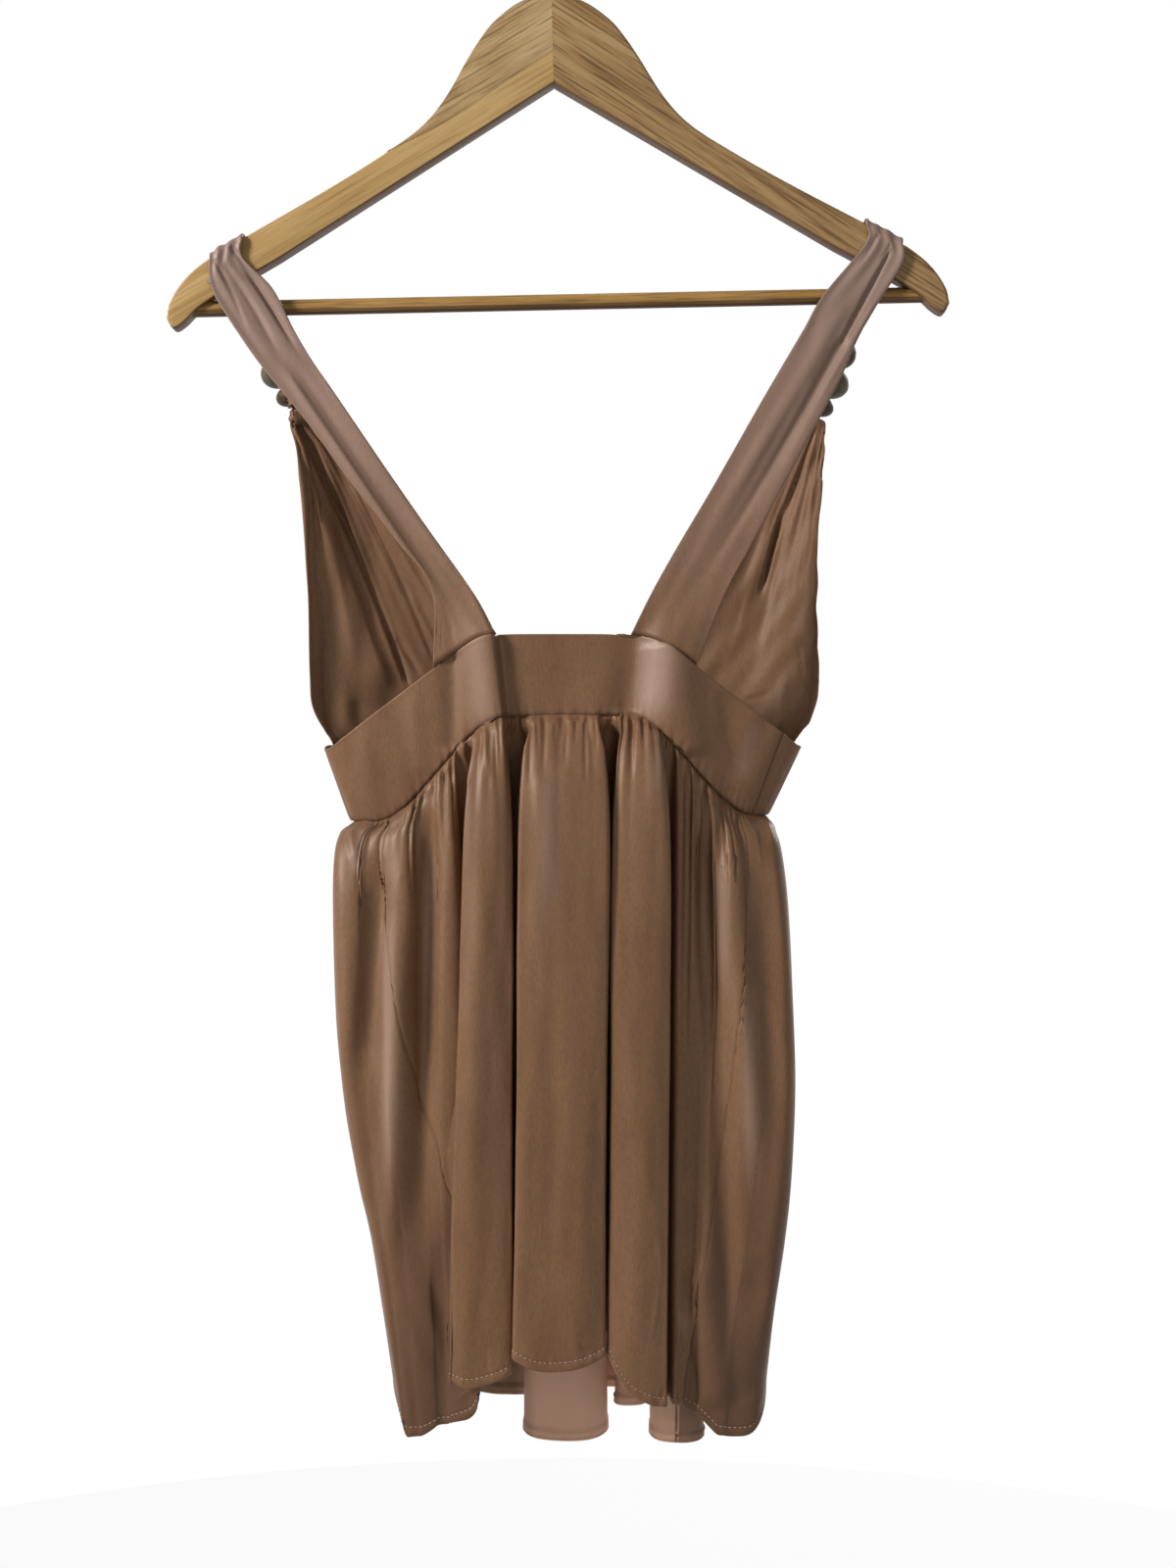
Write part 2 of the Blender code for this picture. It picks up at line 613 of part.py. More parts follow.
def columns_between(start, end):
    """Ring places of a row's columns, kept clear of the seams at its ends."""
    inner = np.arange(math.ceil(start * COLUMNS_PER_CORNER),
                      math.floor(end * COLUMNS_PER_CORNER) + 1) / COLUMNS_PER_CORNER
    inner = inner[(inner > start + NEAR_SEAM) & (inner < end - NEAR_SEAM)]
    return np.concatenate([[start], inner, [end]])


def laced_faces(upper, lower, upper_first, lower_first):
    """Faces between two rows whose columns may differ near their ends."""
    faces = []
    i, j = 0, 0
    while i < len(upper) - 1 or j < len(lower) - 1:
        right_up = upper[i + 1] if i < len(upper) - 1 else math.inf
        right_down = lower[j + 1] if j < len(lower) - 1 else math.inf
        a, b = upper_first + i, lower_first + j
        if abs(right_up - right_down) < 1e-6:
            faces.append((a, a + 1, b + 1, b))
            i, j = i + 1, j + 1
        elif right_up < right_down:
            faces.append((a, a + 1, b))
            i += 1
        else:
            faces.append((a, b + 1, b))
            j += 1
    return faces


def laced_sheet(name, rows, finish):
    """Closed wall of cloth from rows of (places, outside, inside)."""
    firsts = np.concatenate([[0], np.cumsum([len(places) for places, *_ in rows])])
    count = int(firsts[-1])
    faces = []
    for side in (0, count):
        for r in range(len(rows) - 1):
            faces += laced_faces(rows[r][0], rows[r + 1][0], int(firsts[r]) + side,
                                 int(firsts[r + 1]) + side)
    for r in range(len(rows) - 1):
        for a, b in ((firsts[r], firsts[r + 1]), (firsts[r + 1] - 1, firsts[r + 2] - 1)):
            a, b = int(a), int(b)
            faces.append((a, b, b + count, a + count))
    for r in (0, len(rows) - 1):
        for a in range(int(firsts[r]), int(firsts[r + 1]) - 1):
            faces.append((a, a + 1, a + 1 + count, a + count))
    points = np.concatenate([outside for _, outside, _ in rows]
                            + [inside for _, _, inside in rows])
    return build_mesh(name, points, faces, finish)


def skirt_panel(name, seam_start, seam_end, finish):
    """A panel of the skirt between two of its seams."""
    step = 0.03
    rows = []
    for level in LEVELS:
        seams = seam_places(level)
        start, end = seams[seam_start], seams[seam_end]
        if start > end:
            start -= len(RING)
        places = columns_between(start, end)
        columns = places.copy()
        for edge, inward in ((0, 1.0), (-1, -1.0)):
            near = places[[edge]]
            speed = np.linalg.norm(skirt_row(near + step, level)
                                   - skirt_row(near - step, level)) / (2 * step)
            places[edge] += inward * SEAM / 2 / max(speed, 1.0)
        row = skirt_row(places, level)
        along = skirt_row(places + step, level) - skirt_row(places - step, level)
        rows.append((columns, row, row - WALL * flat_normals(row, along)))
    return laced_sheet(name, rows, finish)


def make_skirt(dress):
    hang_on(dress, skirt_panel("skirt_side_left", 3, 0, "satin"),
            skirt_panel("skirt_back", 0, 1, "satin"),
            skirt_panel("skirt_side_right", 1, 2, "satin"),
            skirt_panel("skirt_front", 2, 3, "satin_inside"))


def band_panel(name, start, end, finish):
    """A piece of the band between two seams, given as angles.

    Its columns are those of the skirt below it, so the seam stays even.
    """
    turns = ring_angles(np.arange(-2 * len(RING), 4 * len(RING)) / COLUMNS_PER_CORNER)
    space = SEAM / 2 / BAND_ARC
    near = 3 * space
    inner = turns[(turns > start + near) & (turns < end - near)]
    angles = np.concatenate([[start + space], inner, [end - space]])
    step = 0.004
    outside, inside = [], []
    for level in (0.0, 0.5, 1.0):
        row = band_point(angles, level)
        along = band_point(angles + step, level) - band_point(angles - step, level)
        outside.append(row)
        inside.append(row - WALL * flat_normals(row, along))
    return sheet(name, np.array(outside), np.array(inside), finish)


def make_band(dress):
    hang_on(dress, band_panel("back_band", BAND_SEAM_LEFT, BAND_SEAM_RIGHT, "satin"),
            band_panel("front_band", BAND_SEAM_RIGHT, BAND_SEAM_LEFT + 2 * math.pi,
                       "satin_inside"))


# ---------------------------------------------------------- straps and beads
def bead_frame(side):
    """Centres of a row of beads and the direction it hangs in."""
    middle = np.array((-153.5, BEAD_DEPTH, -271.5) if side < 0
                      else (159.0, BEAD_DEPTH, -277.3))
    down = np.array((-side * BEAD_LEAN, 0.0, -math.sqrt(1 - BEAD_LEAN ** 2)))
    top, large, bottom = BEADS
    up_step = top.half_height + large.half_height + SEAM
    down_step = bottom.half_height + large.half_height + SEAM
    return (middle - down * up_step, middle, middle + down * down_step), down


def ribbon(name, middle, normals, half, finish):
    """Closed strip about a grid of middle points, thick by half each way."""
    return sheet(name, middle + normals * half[..., None],
                 middle - normals * half[..., None], finish)


def strip_normals(middle, facing):
    """Directions square to a strip, all turned to one side of its run."""
    along = np.gradient(middle, axis=0)
    across = np.gradient(middle, axis=1)
    normal = np.cross(across, along)
    normal /= np.linalg.norm(normal, axis=-1, keepdims=True)
    if np.dot(normal[0].mean(axis=0), facing) < 0:
        normal = -normal
    return normal


def strap_rows(strap, side):
    """Middle surface of a strap: up the back, over the arm, to the beads."""
    across = np.linspace(0.0, 1.0, STRAP_COLUMNS)
    half = WALL / 2
    x = strap.band_left + (strap.band_right - strap.band_left) * across
    angle = band_angle(x, 0.0)
    edge = band_point(angle, 0.0)
    edge[:, 2] += SEAM
    edge[:, 1] += half
    rows, thick = [edge], [np.full(STRAP_COLUMNS, half)]
    lowest = float(edge[:, 1].mean())
    arm_front = -(ARM_THICK / 2 + FIT + half)
    arm_x = strap.arm_left + (strap.arm_right - strap.arm_left) * across
    arm_z = np.array([arm_top_height(v) for v in arm_x])
    highest = strap.stations[-1].height
    start_height = float(edge[:, 2].mean())
    grooves = sum(np.exp(-((across - g) / GROOVE_WIDTH) ** 2) for g in strap.grooves)
    for station in strap.stations:
        rise = (station.height - start_height) / (highest - start_height)
        depth = lowest + (arm_front - lowest) * rise
        easing = float(smoothstep(rise, 0.0, 0.25) * (1 - smoothstep(rise, 0.7, 1.0)))
        row_x = station.left + (station.right - station.left) * across
        slope = (arm_z[-1] - arm_z[0]) * rise * 0.55
        row_z = station.height + slope * (across - 0.5)
        row_y = depth + easing * GROOVE_DEPTH * grooves
        rows.append(np.stack([row_x, row_y, row_z], axis=-1))
        thick.append(np.full(STRAP_COLUMNS, half))
    over = ((-1.0, -12.0), (-1.0, -1.2), (-0.74, 1.4), (0.0, 2.3), (0.74, 1.4),
            (1.0, -1.2), (1.0, -13.0))
    for share, rise in over:
        rows.append(np.stack([arm_x, np.full(STRAP_COLUMNS, -share * arm_front),
                              arm_z + rise], axis=-1))
        thick.append(np.full(STRAP_COLUMNS, half))
    centres, down = bead_frame(side)
    neck_start = centres[0] - down * (BEADS[0].half_height + 5.0)
    neck_end = centres[1] - down * 0.2
    level = 2 * across - 1
    rod_thick = 0.35 + NECK_HALF_THICK * np.sqrt(np.maximum(0.0, 1 - level ** 2))
    neck = [(neck_start + (neck_end - neck_start) * t) for t in (0.0, 0.35, 1.0)]
    last = rows[-1]
    for share in (0.4, 0.75):
        squeeze = smoothstep(share, 0.0, 1.0)
        target = neck[0][None, :] + np.outer(level * NECK_HALF_WIDTH, (1.0, 0.0, 0.0))
        rows.append(last * (1 - squeeze) + target * squeeze)
        thick.append(half * (1 - squeeze) + rod_thick * squeeze)
    for point in neck:
        rows.append(point[None, :] + np.outer(level * NECK_HALF_WIDTH, (1.0, 0.0, 0.0)))
        thick.append(rod_thick)
    return np.array(rows), np.array(thick)


def make_strap(name, strap, side):
    middle, half = strap_rows(strap, side)
    normals = strip_normals(middle, (0.0, -1.0, 0.0))
    normals[0] = (0.0, -1.0, 0.0)
    return ribbon(name, middle, normals, half, "satin")


def make_bead(name, bead, centre, down):
    """Turned bead with a straight bore along the row."""
    widest = math.acos(BEAD_BORE / bead.radius)
    angles = np.linspace(-widest, widest, 9)
    height = bead.half_height / math.sin(widest)
    profile = [(bead.radius * math.cos(a), height * math.sin(a)) for a in angles]
    turned = []
    for step in range(BEAD_SIDES):
        turn = 2 * math.pi * step / BEAD_SIDES
        turned += [(r * math.cos(turn), r * math.sin(turn), h) for r, h in profile]
    count = len(profile)
    faces = []
    for step in range(BEAD_SIDES):
        following = (step + 1) % BEAD_SIDES
        for i in range(count):
            faces.append((step * count + i, step * count + (i + 1) % count,
                          following * count + (i + 1) % count, following * count + i))
    new = build_mesh(name, turned, faces, bead.colour)
    lean = math.atan2(-down[0], -down[2])
    new.rotation_euler = (0.0, lean, 0.0)
    new.location = tuple(centre * MM)
    return new


# ---------------------------------------------------------------------- cups
def make_cup(name, stations, side, band_outer, band_inner):
    """Front cup: a gathered triangle from the bottom bead to the band."""
    across = np.linspace(0.0, 1.0, CUP_COLUMNS)
    level = 2 * across - 1
    half = WALL / 2
    centres, down = bead_frame(side)
    neck_top = centres[1] + down * 0.2
    neck_end = centres[2] + down * (BEADS[2].half_height + 1.5)
    rod_thick = 0.35 + NECK_HALF_THICK * np.sqrt(np.maximum(0.0, 1 - level ** 2))
    rows, thick = [], []
    inwards = np.outer(-side * level * NECK_HALF_WIDTH, (1.0, 0.0, 0.0))
    for share in (0.0, 0.6, 1.0):
        rows.append(neck_top + (neck_end - neck_top) * share + inwards)
        thick.append(rod_thick)
    x = band_outer + (band_inner - band_outer) * across
    angle = band_angle(x, 0.0, behind=False)
    edge = band_point(angle, 0.0)
    edge[:, 2] += SEAM
    edge[:, 1] -= half * np.sin(angle)
    first = float(neck_end[2])
    last = float(edge[:, 2].mean())
    for station in stations:
        fall = (station.height - first) / (last - first)
        opened = float(smoothstep(fall, 0.0, 0.12))
        row_x = station.outer + (station.inner - station.outer) * across
        depth = BEAD_DEPTH * (1 - fall) + edge[:, 1] * fall
        bulge = CUP_BULGE * math.sin(math.pi * fall) * (1 - level ** 2)
        waves = (CUP_WAVE_DEPTH * (1 - fall) * opened
                 * np.sin(2 * math.pi * CUP_WAVES * across))
        rows.append(np.stack([row_x, depth + bulge + waves,
                              np.full(CUP_COLUMNS, station.height)], axis=-1))
        thick.append(half + (rod_thick - half) * (1 - opened) * 0.4)
    rows.append(edge)
    thick.append(np.full(CUP_COLUMNS, half))
    middle = np.array(rows)
    normals = strip_normals(middle, (0.0, 1.0, 0.0))
    normals[-1, :, 2] = 0.0
    normals[-1] /= np.linalg.norm(normals[-1], axis=-1, keepdims=True)
    return ribbon(name, middle, normals, np.array(thick), "satin_inside")


def make_bodice(dress):
    left = Strap(LEFT_STRAP, -64.4, -29.5, -190.0, -174.5, (0.3, 0.68))
    right = Strap(RIGHT_STRAP, 45.4, 81.6, 179.0, 199.0, (0.7,))
    hang_on(dress, make_strap("strap_left", left, -1), make_strap("strap_right", right, 1),
            make_cup("cup_left", LEFT_CUP, -1, -124.0, CUP_MIDDLE_LEFT),
            make_cup("cup_right", RIGHT_CUP, 1, 138.0, CUP_MIDDLE_RIGHT))
    for side, word in ((-1, "left"), (1, "right")):
        centres, down = bead_frame(side)
        for bead, centre in zip(BEADS, centres):
            hang_on(dress, make_bead("bead_%s_%s" % (word, bead.name), bead, centre, down))


def main():
    clear_scene()
    make_hanger()
    dress = holder("dress")
    make_band(dress)
    make_skirt(dress)
    make_bodice(dress)


main()
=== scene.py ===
import math
from collections import namedtuple

import bmesh
import bpy
import numpy as np
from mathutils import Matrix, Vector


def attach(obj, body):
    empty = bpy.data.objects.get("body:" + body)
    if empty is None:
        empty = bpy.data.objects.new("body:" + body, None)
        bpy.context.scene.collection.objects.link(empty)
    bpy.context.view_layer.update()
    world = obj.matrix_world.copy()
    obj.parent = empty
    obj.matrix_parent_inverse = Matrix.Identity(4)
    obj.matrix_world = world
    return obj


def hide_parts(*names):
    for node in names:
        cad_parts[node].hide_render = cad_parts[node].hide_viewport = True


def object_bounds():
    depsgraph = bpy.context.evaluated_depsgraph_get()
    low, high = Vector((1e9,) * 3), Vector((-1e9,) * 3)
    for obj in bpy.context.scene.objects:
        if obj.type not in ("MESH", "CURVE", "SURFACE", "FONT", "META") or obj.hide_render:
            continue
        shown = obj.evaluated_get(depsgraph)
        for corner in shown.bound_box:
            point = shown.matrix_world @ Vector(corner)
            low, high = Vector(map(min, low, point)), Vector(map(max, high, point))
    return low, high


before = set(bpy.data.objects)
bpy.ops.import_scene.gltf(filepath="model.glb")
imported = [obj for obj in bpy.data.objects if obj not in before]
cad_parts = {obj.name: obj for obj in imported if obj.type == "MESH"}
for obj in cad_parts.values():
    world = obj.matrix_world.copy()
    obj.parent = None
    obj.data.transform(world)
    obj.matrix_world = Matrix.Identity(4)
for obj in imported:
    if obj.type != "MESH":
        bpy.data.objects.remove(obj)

# Halter dress on a wooden hanger. Sizes are in millimetres and turned to metres by mm
# where a mesh is made. -Y is behind the dress, +Z is up, the origin is inside the hook.
mm = 0.001
cadLow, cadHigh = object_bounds()
print("frame loaded, %d nodes" % len(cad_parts))


# Small tools used by every piece
def ease(value, start, end):
    share = np.clip((value - start) / (end - start), 0.0, 1.0)
    return share * share * (3.0 - 2.0 * share)


def softRamp(value, width):
    return width * np.log1p(np.exp(np.clip(value / width, -40.0, 40.0)))


def bump(value, width):
    return np.exp(-(value / width) ** 2)


# Smooth curve through points, or through whole rows of points
def smoothCurve(points, steps):
    points = np.asarray(points, float)
    ends = (2 * points[:1] - points[1:2], 2 * points[-1:] - points[-2:-1])
    padded = np.concatenate([ends[0], points, ends[1]])
    curve = []
    for a, b, c, d in zip(padded, padded[1:], padded[2:], padded[3:]):
        for t in np.arange(steps) / steps:
            curve.append(0.5 * (2 * b + (c - a) * t + (2 * a - 5 * b + 4 * c - d) * t ** 2
                                + (3 * b - a - 3 * c + d) * t ** 3))
    return np.array(curve + [points[-1]])


# Directions square to a grid: towards the reader for rows running down, columns right
def squareTo(grid):
    normal = np.cross(np.gradient(grid, axis=0), np.gradient(grid, axis=1))
    return normal / np.maximum(np.linalg.norm(normal, axis=-1, keepdims=True), 1e-9)


# Length run along a grid from its first row (axis 0) or first column (axis 1)
def runAlong(grid, axis):
    steps = np.linalg.norm(np.diff(grid, axis=axis), axis=-1)
    start = np.zeros_like(np.take(steps, [0], axis=axis))
    return np.concatenate([start, np.cumsum(steps, axis=axis)], axis=axis)


# Shares from 0 to 1 that crowd together at the two rolled edges
def edgedShares(length, step):
    start = np.array((0.0, 0.1, 0.3, 0.6, 1.0, 1.6)) / length
    end = 1.0 - start[::-1]
    count = max(2, round((end[0] - start[-1]) * length / step))
    return np.concatenate([start, np.linspace(start[-1], end[0], count + 1)[1:-1], end])


# Thickness of cloth at a distance from its rolled edge
def rolled(distance, full):
    short = np.clip(1.0 - distance / (full / 2), 0.0, 1.0)
    return full * np.maximum(np.sqrt(1.0 - short ** 2), 0.15)


# A crease runs from x0,z0 down to x1,z1, bowed to the right by bow. left and right are
# its widths on each side, lift its height (below 0 for a groove), start and end the
# shares of its run over which it fades.
crease = namedtuple("crease", "x0 z0 x1 z1 bow left right lift start end")


def creaseLift(grid, table):
    x, z = grid[..., 0], grid[..., 2]
    lift = np.zeros(x.shape)
    for row in table:
        c = crease(*row)
        runX, runZ = c.x1 - c.x0, c.z1 - c.z0
        length = math.hypot(runX, runZ)
        along = ((x - c.x0) * runX + (z - c.z0) * runZ) / length ** 2
        aside = ((z - c.z0) * runX - (x - c.x0) * runZ) / length
        inRun = np.clip(along, 0.0, 1.0)
        aside = aside - 4 * c.bow * inRun * (1 - inRun)
        width = np.where(aside < 0, c.left, c.right)
        fade = (ease(along, -0.01, max(c.start, 0.005))
                * (1 - ease(along, 1 - max(c.end, 0.005), 1.01)))
        lift += c.lift * bump(aside, width) * fade
    return lift


# Presses creases into the side of a grid that faces -Y, or with facing 1 into the other
def press(grid, table, facing=-1.0):
    normals = squareTo(grid)
    shown = np.clip(1.5 * facing * normals[..., 1], 0.0, 1.0)
    return grid + normals * (creaseLift(grid, table) * shown)[..., None]


# Slow uneven waves of hanging cloth, about 1 high
def hangWaves(around, height, seed, wide, tall, count=9):
    rng = np.random.default_rng(seed)
    waves = 0.0
    for _ in range(count):
        turns = around / rng.uniform(*wide) + height / rng.uniform(*tall) * rng.choice((-1, 1))
        waves = waves + np.sin(2 * math.pi * (turns + rng.random()))
    return waves / math.sqrt(count)


def addPiece(name, mesh, finish):
    mesh.materials.append(finish)
    piece = bpy.data.objects.new(name, mesh)
    bpy.context.collection.objects.link(piece)
    return piece


def addMesh(name, points, faces, finish):
    mesh = bpy.data.meshes.new(name)
    mesh.from_pydata((np.asarray(points) * mm).tolist(), [], faces)
    mesh.shade_smooth()
    return addPiece(name, mesh, finish)


# Cloth drawn smoothly through rows of points, each with its half thickness: its middle
# layer, where its finer rows lie among the given ones, its width and its full thickness
def clothThrough(rows, halves, steps):
    middle = smoothCurve(rows, steps)
    finer = np.linspace(0, len(rows) - 1, len(middle))
    half = np.array([np.interp(finer, range(len(rows)), column)
                     for column in np.array(halves).T]).T
    wide = runAlong(middle, 1)
    fromSide = np.minimum(wide, wide[:, -1:] - wide)
    return middle, finer, wide, fromSide, rolled(fromSide, 1.0) * 2 * half


# Closed shell of cloth: face is its shown side, marks are values kept for the finish,
# and the mark inner is 1 on the reverse
def clothShell(name, face, thickness, finish, marks=None):
    rows, columns = face.shape[:2]
    thick = np.broadcast_to(thickness, (rows, columns))[..., None]
    back = face - squareTo(face) * thick
    at = np.arange(rows * columns).reshape(rows, columns)
    low = rows * columns

    def quads(*corners):
        return np.stack([c.ravel() for c in corners], axis=1)

    corners = (at[:-1, :-1], at[1:, :-1], at[1:, 1:], at[:-1, 1:])
    faces = np.concatenate([
        quads(*corners), quads(*corners[::-1]) + low,
        quads(at[0, :-1], at[0, 1:], at[0, 1:] + low, at[0, :-1] + low),
        quads(at[-1, 1:], at[-1, :-1], at[-1, :-1] + low, at[-1, 1:] + low),
        quads(at[1:, 0], at[:-1, 0], at[:-1, 0] + low, at[1:, 0] + low),
        quads(at[:-1, -1], at[1:, -1], at[1:, -1] + low, at[:-1, -1] + low)])
    points = np.concatenate([face.reshape(-1, 3), back.reshape(-1, 3)])
    piece = addMesh(name, points, faces.tolist(), finish)
    marks = {mark: np.tile(np.ravel(values), 2) for mark, values in (marks or {}).items()}
    marks["inner"] = np.repeat((0.0, 1.0), low)
    for mark, values in marks.items():
        kept = piece.data.attributes.new(mark, "FLOAT", "POINT")
        kept.data.foreach_set("value", values.astype(np.float32))
    return piece


# Finishes
def startFinish(name):
    finish = bpy.data.materials.new(name)
    finish.use_nodes = True
    tree = finish.node_tree
    return finish, tree, tree.nodes["Principled BSDF"]


def addNode(tree, kind, **settings):
    node = tree.nodes.new(kind)
    for key, value in settings.items():
        setattr(node, key, value)
    return node


# Object coordinates, turned about Y and then stretched
def stretchedPlace(tree, turn, stretch):
    place = addNode(tree, "ShaderNodeTexCoord")
    turned = addNode(tree, "ShaderNodeMapping")
    turned.inputs["Rotation"].default_value = (0, turn, 0)
    scaled = addNode(tree, "ShaderNodeMapping")
    scaled.inputs["Scale"].default_value = stretch
    tree.links.new(place.outputs["Object"], turned.inputs["Vector"])
    tree.links.new(turned.outputs["Vector"], scaled.inputs["Vector"])
    return scaled.outputs["Vector"]


# One direction of the object coordinates, or of another vector
def axisOf(tree, axis, vector=None):
    split = addNode(tree, "ShaderNodeSeparateXYZ")
    if vector is None:
        vector = addNode(tree, "ShaderNodeTexCoord").outputs["Object"]
    tree.links.new(vector, split.inputs["Vector"])
    return split.outputs[axis]


def product(tree, first, second):
    node = addNode(tree, "ShaderNodeMath", operation="MULTIPLY")
    tree.links.new(first, node.inputs[0])
    tree.links.new(second, node.inputs[1])
    return node.outputs[0]


def noise(tree, vector, scale, detail=3.0, rough=0.55, distortion=0.0):
    node = addNode(tree, "ShaderNodeTexNoise")
    node.inputs["Scale"].default_value = scale
    node.inputs["Detail"].default_value = detail
    node.inputs["Roughness"].default_value = rough
    node.inputs["Distortion"].default_value = distortion
    tree.links.new(vector, node.inputs["Vector"])
    return node.outputs["Fac"]


def ramp(tree, value, stops):
    node = addNode(tree, "ShaderNodeValToRGB")
    band = node.color_ramp
    while len(band.elements) < len(stops):
        band.elements.new(0.5)
    for element, (place, colour) in zip(band.elements, stops):
        element.position = place
        element.color = (*colour, 1.0)
    tree.links.new(value, node.inputs["Fac"])
    return node.outputs["Color"]


def mixColour(tree, share, first, second, blend="MIX"):
    node = addNode(tree, "ShaderNodeMix", data_type="RGBA", blend_type=blend)
    for socket, value in ((node.inputs[0], share), (node.inputs[6], first),
                          (node.inputs[7], second)):
        if isinstance(value, bpy.types.NodeSocket):
            tree.links.new(value, socket)
        elif isinstance(value, (int, float)):
            socket.default_value = value
        else:
            socket.default_value = (*value, 1.0)
    return node.outputs[2]


def spread(tree, value, low, high, fromLow=0.0, fromHigh=1.0):
    node = addNode(tree, "ShaderNodeMapRange")
    node.inputs["From Min"].default_value = fromLow
    node.inputs["From Max"].default_value = fromHigh
    node.inputs["To Min"].default_value = low
    node.inputs["To Max"].default_value = high
    tree.links.new(value, node.inputs["Value"])
    return node.outputs["Result"]


def relief(tree, value, strength, depth, under=None):
    node = addNode(tree, "ShaderNodeBump")
    node.inputs["Strength"].default_value = strength
    node.inputs["Distance"].default_value = depth
    tree.links.new(value, node.inputs["Height"])
    if under is not None:
        tree.links.new(under, node.inputs["Normal"])
    return node.outputs["Normal"]


def markValue(tree, name):
    return addNode(tree, "ShaderNodeAttribute", attribute_name=name).outputs["Fac"]


satin = {
    "shade": (0.172, 0.086, 0.041),
    "shadeWorn": (0.205, 0.108, 0.058),
    "shadeDeep": (0.138, 0.066, 0.031),
    "shadeDull": (0.50, 0.30, 0.20),        # mixed in where the cloth lies inside
    # painted shade, mixed in towards the hem of the side panels
    "paintedShadeLow": (0.070, 0.031, 0.017),
    # painted sheen, mixed in towards the top of the straps
    "paintedSheenTop": (0.285, 0.195, 0.165),
    # painted light on the reverse seen inside the far side; the reverse is also duller
    "paintedLightReverse": (0.70, 0.41, 0.28),
    "paintedHighlightShade": (0.40, 0.28, 0.225),      # painted highlight, where the satin's sheen catches the light
    "speck": ((0.25, (0.72, 0.70, 0.68)), (0.62, (1.04, 1.04, 1.04))),
    "sewnEdge": ((0.0, (1.0, 1.0, 1.0)), (1.0, (0.62, 0.58, 0.55))),
    # share at the start and end of a stretch, then where it starts and ends in metres
    # painted light on the reverse: its share across, and only on the far side behind
    "paintedLightAcross": (0.1, 0.95, -0.022, -0.008),
    "reverseBehind": (0.0, 1.0, 0.0, 0.004),
    # painted shade towards the hem
    "paintedShadeBelow": (0.68, 0.0, -0.85, -0.66),
    # painted sheen towards the top
    "paintedSheenRise": (0.0, 0.75, -0.44, -0.22),
    "roughness": (0.42, 0.53),
    "sheen": 0.05,
    "knit": 0.00012,        # depth of the knit in metres
    "ribs": 900.0,          # scale of the knit's ribs
    "crumple": 0.0011,      # depth of the soft crumpling in metres
}


# Satin jersey: warm brown, paler where painted highlights are marked, with a fine upright knit
def satinFinish(name, tint=1.0, dull=0.0, rougher=0.0, paintedReverseLight=False, low=False, top=False):
    finish, tree, shader = startFinish(name)
    place = stretchedPlace(tree, 0.0, (1.0, 1.0, 0.35))
    cloud = noise(tree, place, 26.0, 4.0)
    fine = noise(tree, place, 900.0, 2.0)
    shades = [tuple(c * tint for c in satin[key]) for key in ("shadeDeep", "shade", "shadeWorn")]
    worn = ramp(tree, cloud, tuple(zip((0.30, 0.48, 0.75), shades)))
    colour = mixColour(tree, 0.7, worn, ramp(tree, fine, satin["speck"]), "MULTIPLY")
    if dull:
        colour = mixColour(tree, dull, colour, satin["shadeDull"])
    if paintedReverseLight:       # painted light on the dull reverse: pale to the right, where light reaches in, less so to the left, where it lies in shade
        free = product(tree, spread(tree, axisOf(tree, "X"), *satin["paintedLightAcross"]),
                       spread(tree, axisOf(tree, "Y"), *satin["reverseBehind"]))
        colour = mixColour(tree, product(tree, free, markValue(tree, "inner")), colour,
                           satin["paintedLightReverse"])
    # painted shade: darker towards the hem
    if low:
        colour = mixColour(tree, spread(tree, axisOf(tree, "Z"), *satin["paintedShadeBelow"]), colour,
                           satin["paintedShadeLow"])
    # painted sheen: paler towards the top, as reflected light
    if top:
        colour = mixColour(tree, spread(tree, axisOf(tree, "Z"), *satin["paintedSheenRise"]), colour,
                           satin["paintedSheenTop"])
    # painted highlights: pale colour where the marks stand in for the satin's sheen
    colour = mixColour(tree, markValue(tree, "paintedHighlight"), colour, satin["paintedHighlightShade"])
    edge = ramp(tree, markValue(tree, "sewn"), satin["sewnEdge"])
    colour = mixColour(tree, 1.0, colour, edge, "MULTIPLY")
    tree.links.new(colour, shader.inputs["Base Color"])
    smooth, rough = satin["roughness"]
    tree.links.new(spread(tree, cloud, smooth + rougher, rough + rougher, 0.3, 0.7),
                   shader.inputs["Roughness"])
    ribs = addNode(tree, "ShaderNodeTexWave", wave_type="BANDS", bands_direction="DIAGONAL")
    ribs.inputs["Scale"].default_value = satin["ribs"]
    ribs.inputs["Distortion"].default_value = 1.2
    ribs.inputs["Detail"].default_value = 1.0
    flat = stretchedPlace(tree, 0.0, (1.0, 1.0, 0.04))
    tree.links.new(flat, ribs.inputs["Vector"])
    knit = relief(tree, ribs.outputs["Fac"], 0.25, satin["knit"])
    soft = relief(tree, noise(tree, place, 260.0, 3.0), 0.14, 0.0005, knit)
    limp = stretchedPlace(tree, 0.25, (1.0, 1.0, 0.6))
    soft = relief(tree, noise(tree, limp, 55.0, 2.0, 0.5, 0.6), 0.35, satin["crumple"], soft)
    tree.links.new(soft, shader.inputs["Normal"])
    shader.inputs["Sheen Weight"].default_value = satin["sheen"]
    shader.inputs["Sheen Roughness"].default_value = 0.45
    shader.inputs["Sheen Tint"].default_value = (1.0, 0.86, 0.80, 1.0)
    shader.inputs["Specular IOR Level"].default_value = 0.36
    shader.inputs["Specular Tint"].default_value = (1.0, 0.86, 0.74, 1.0)
    return finish
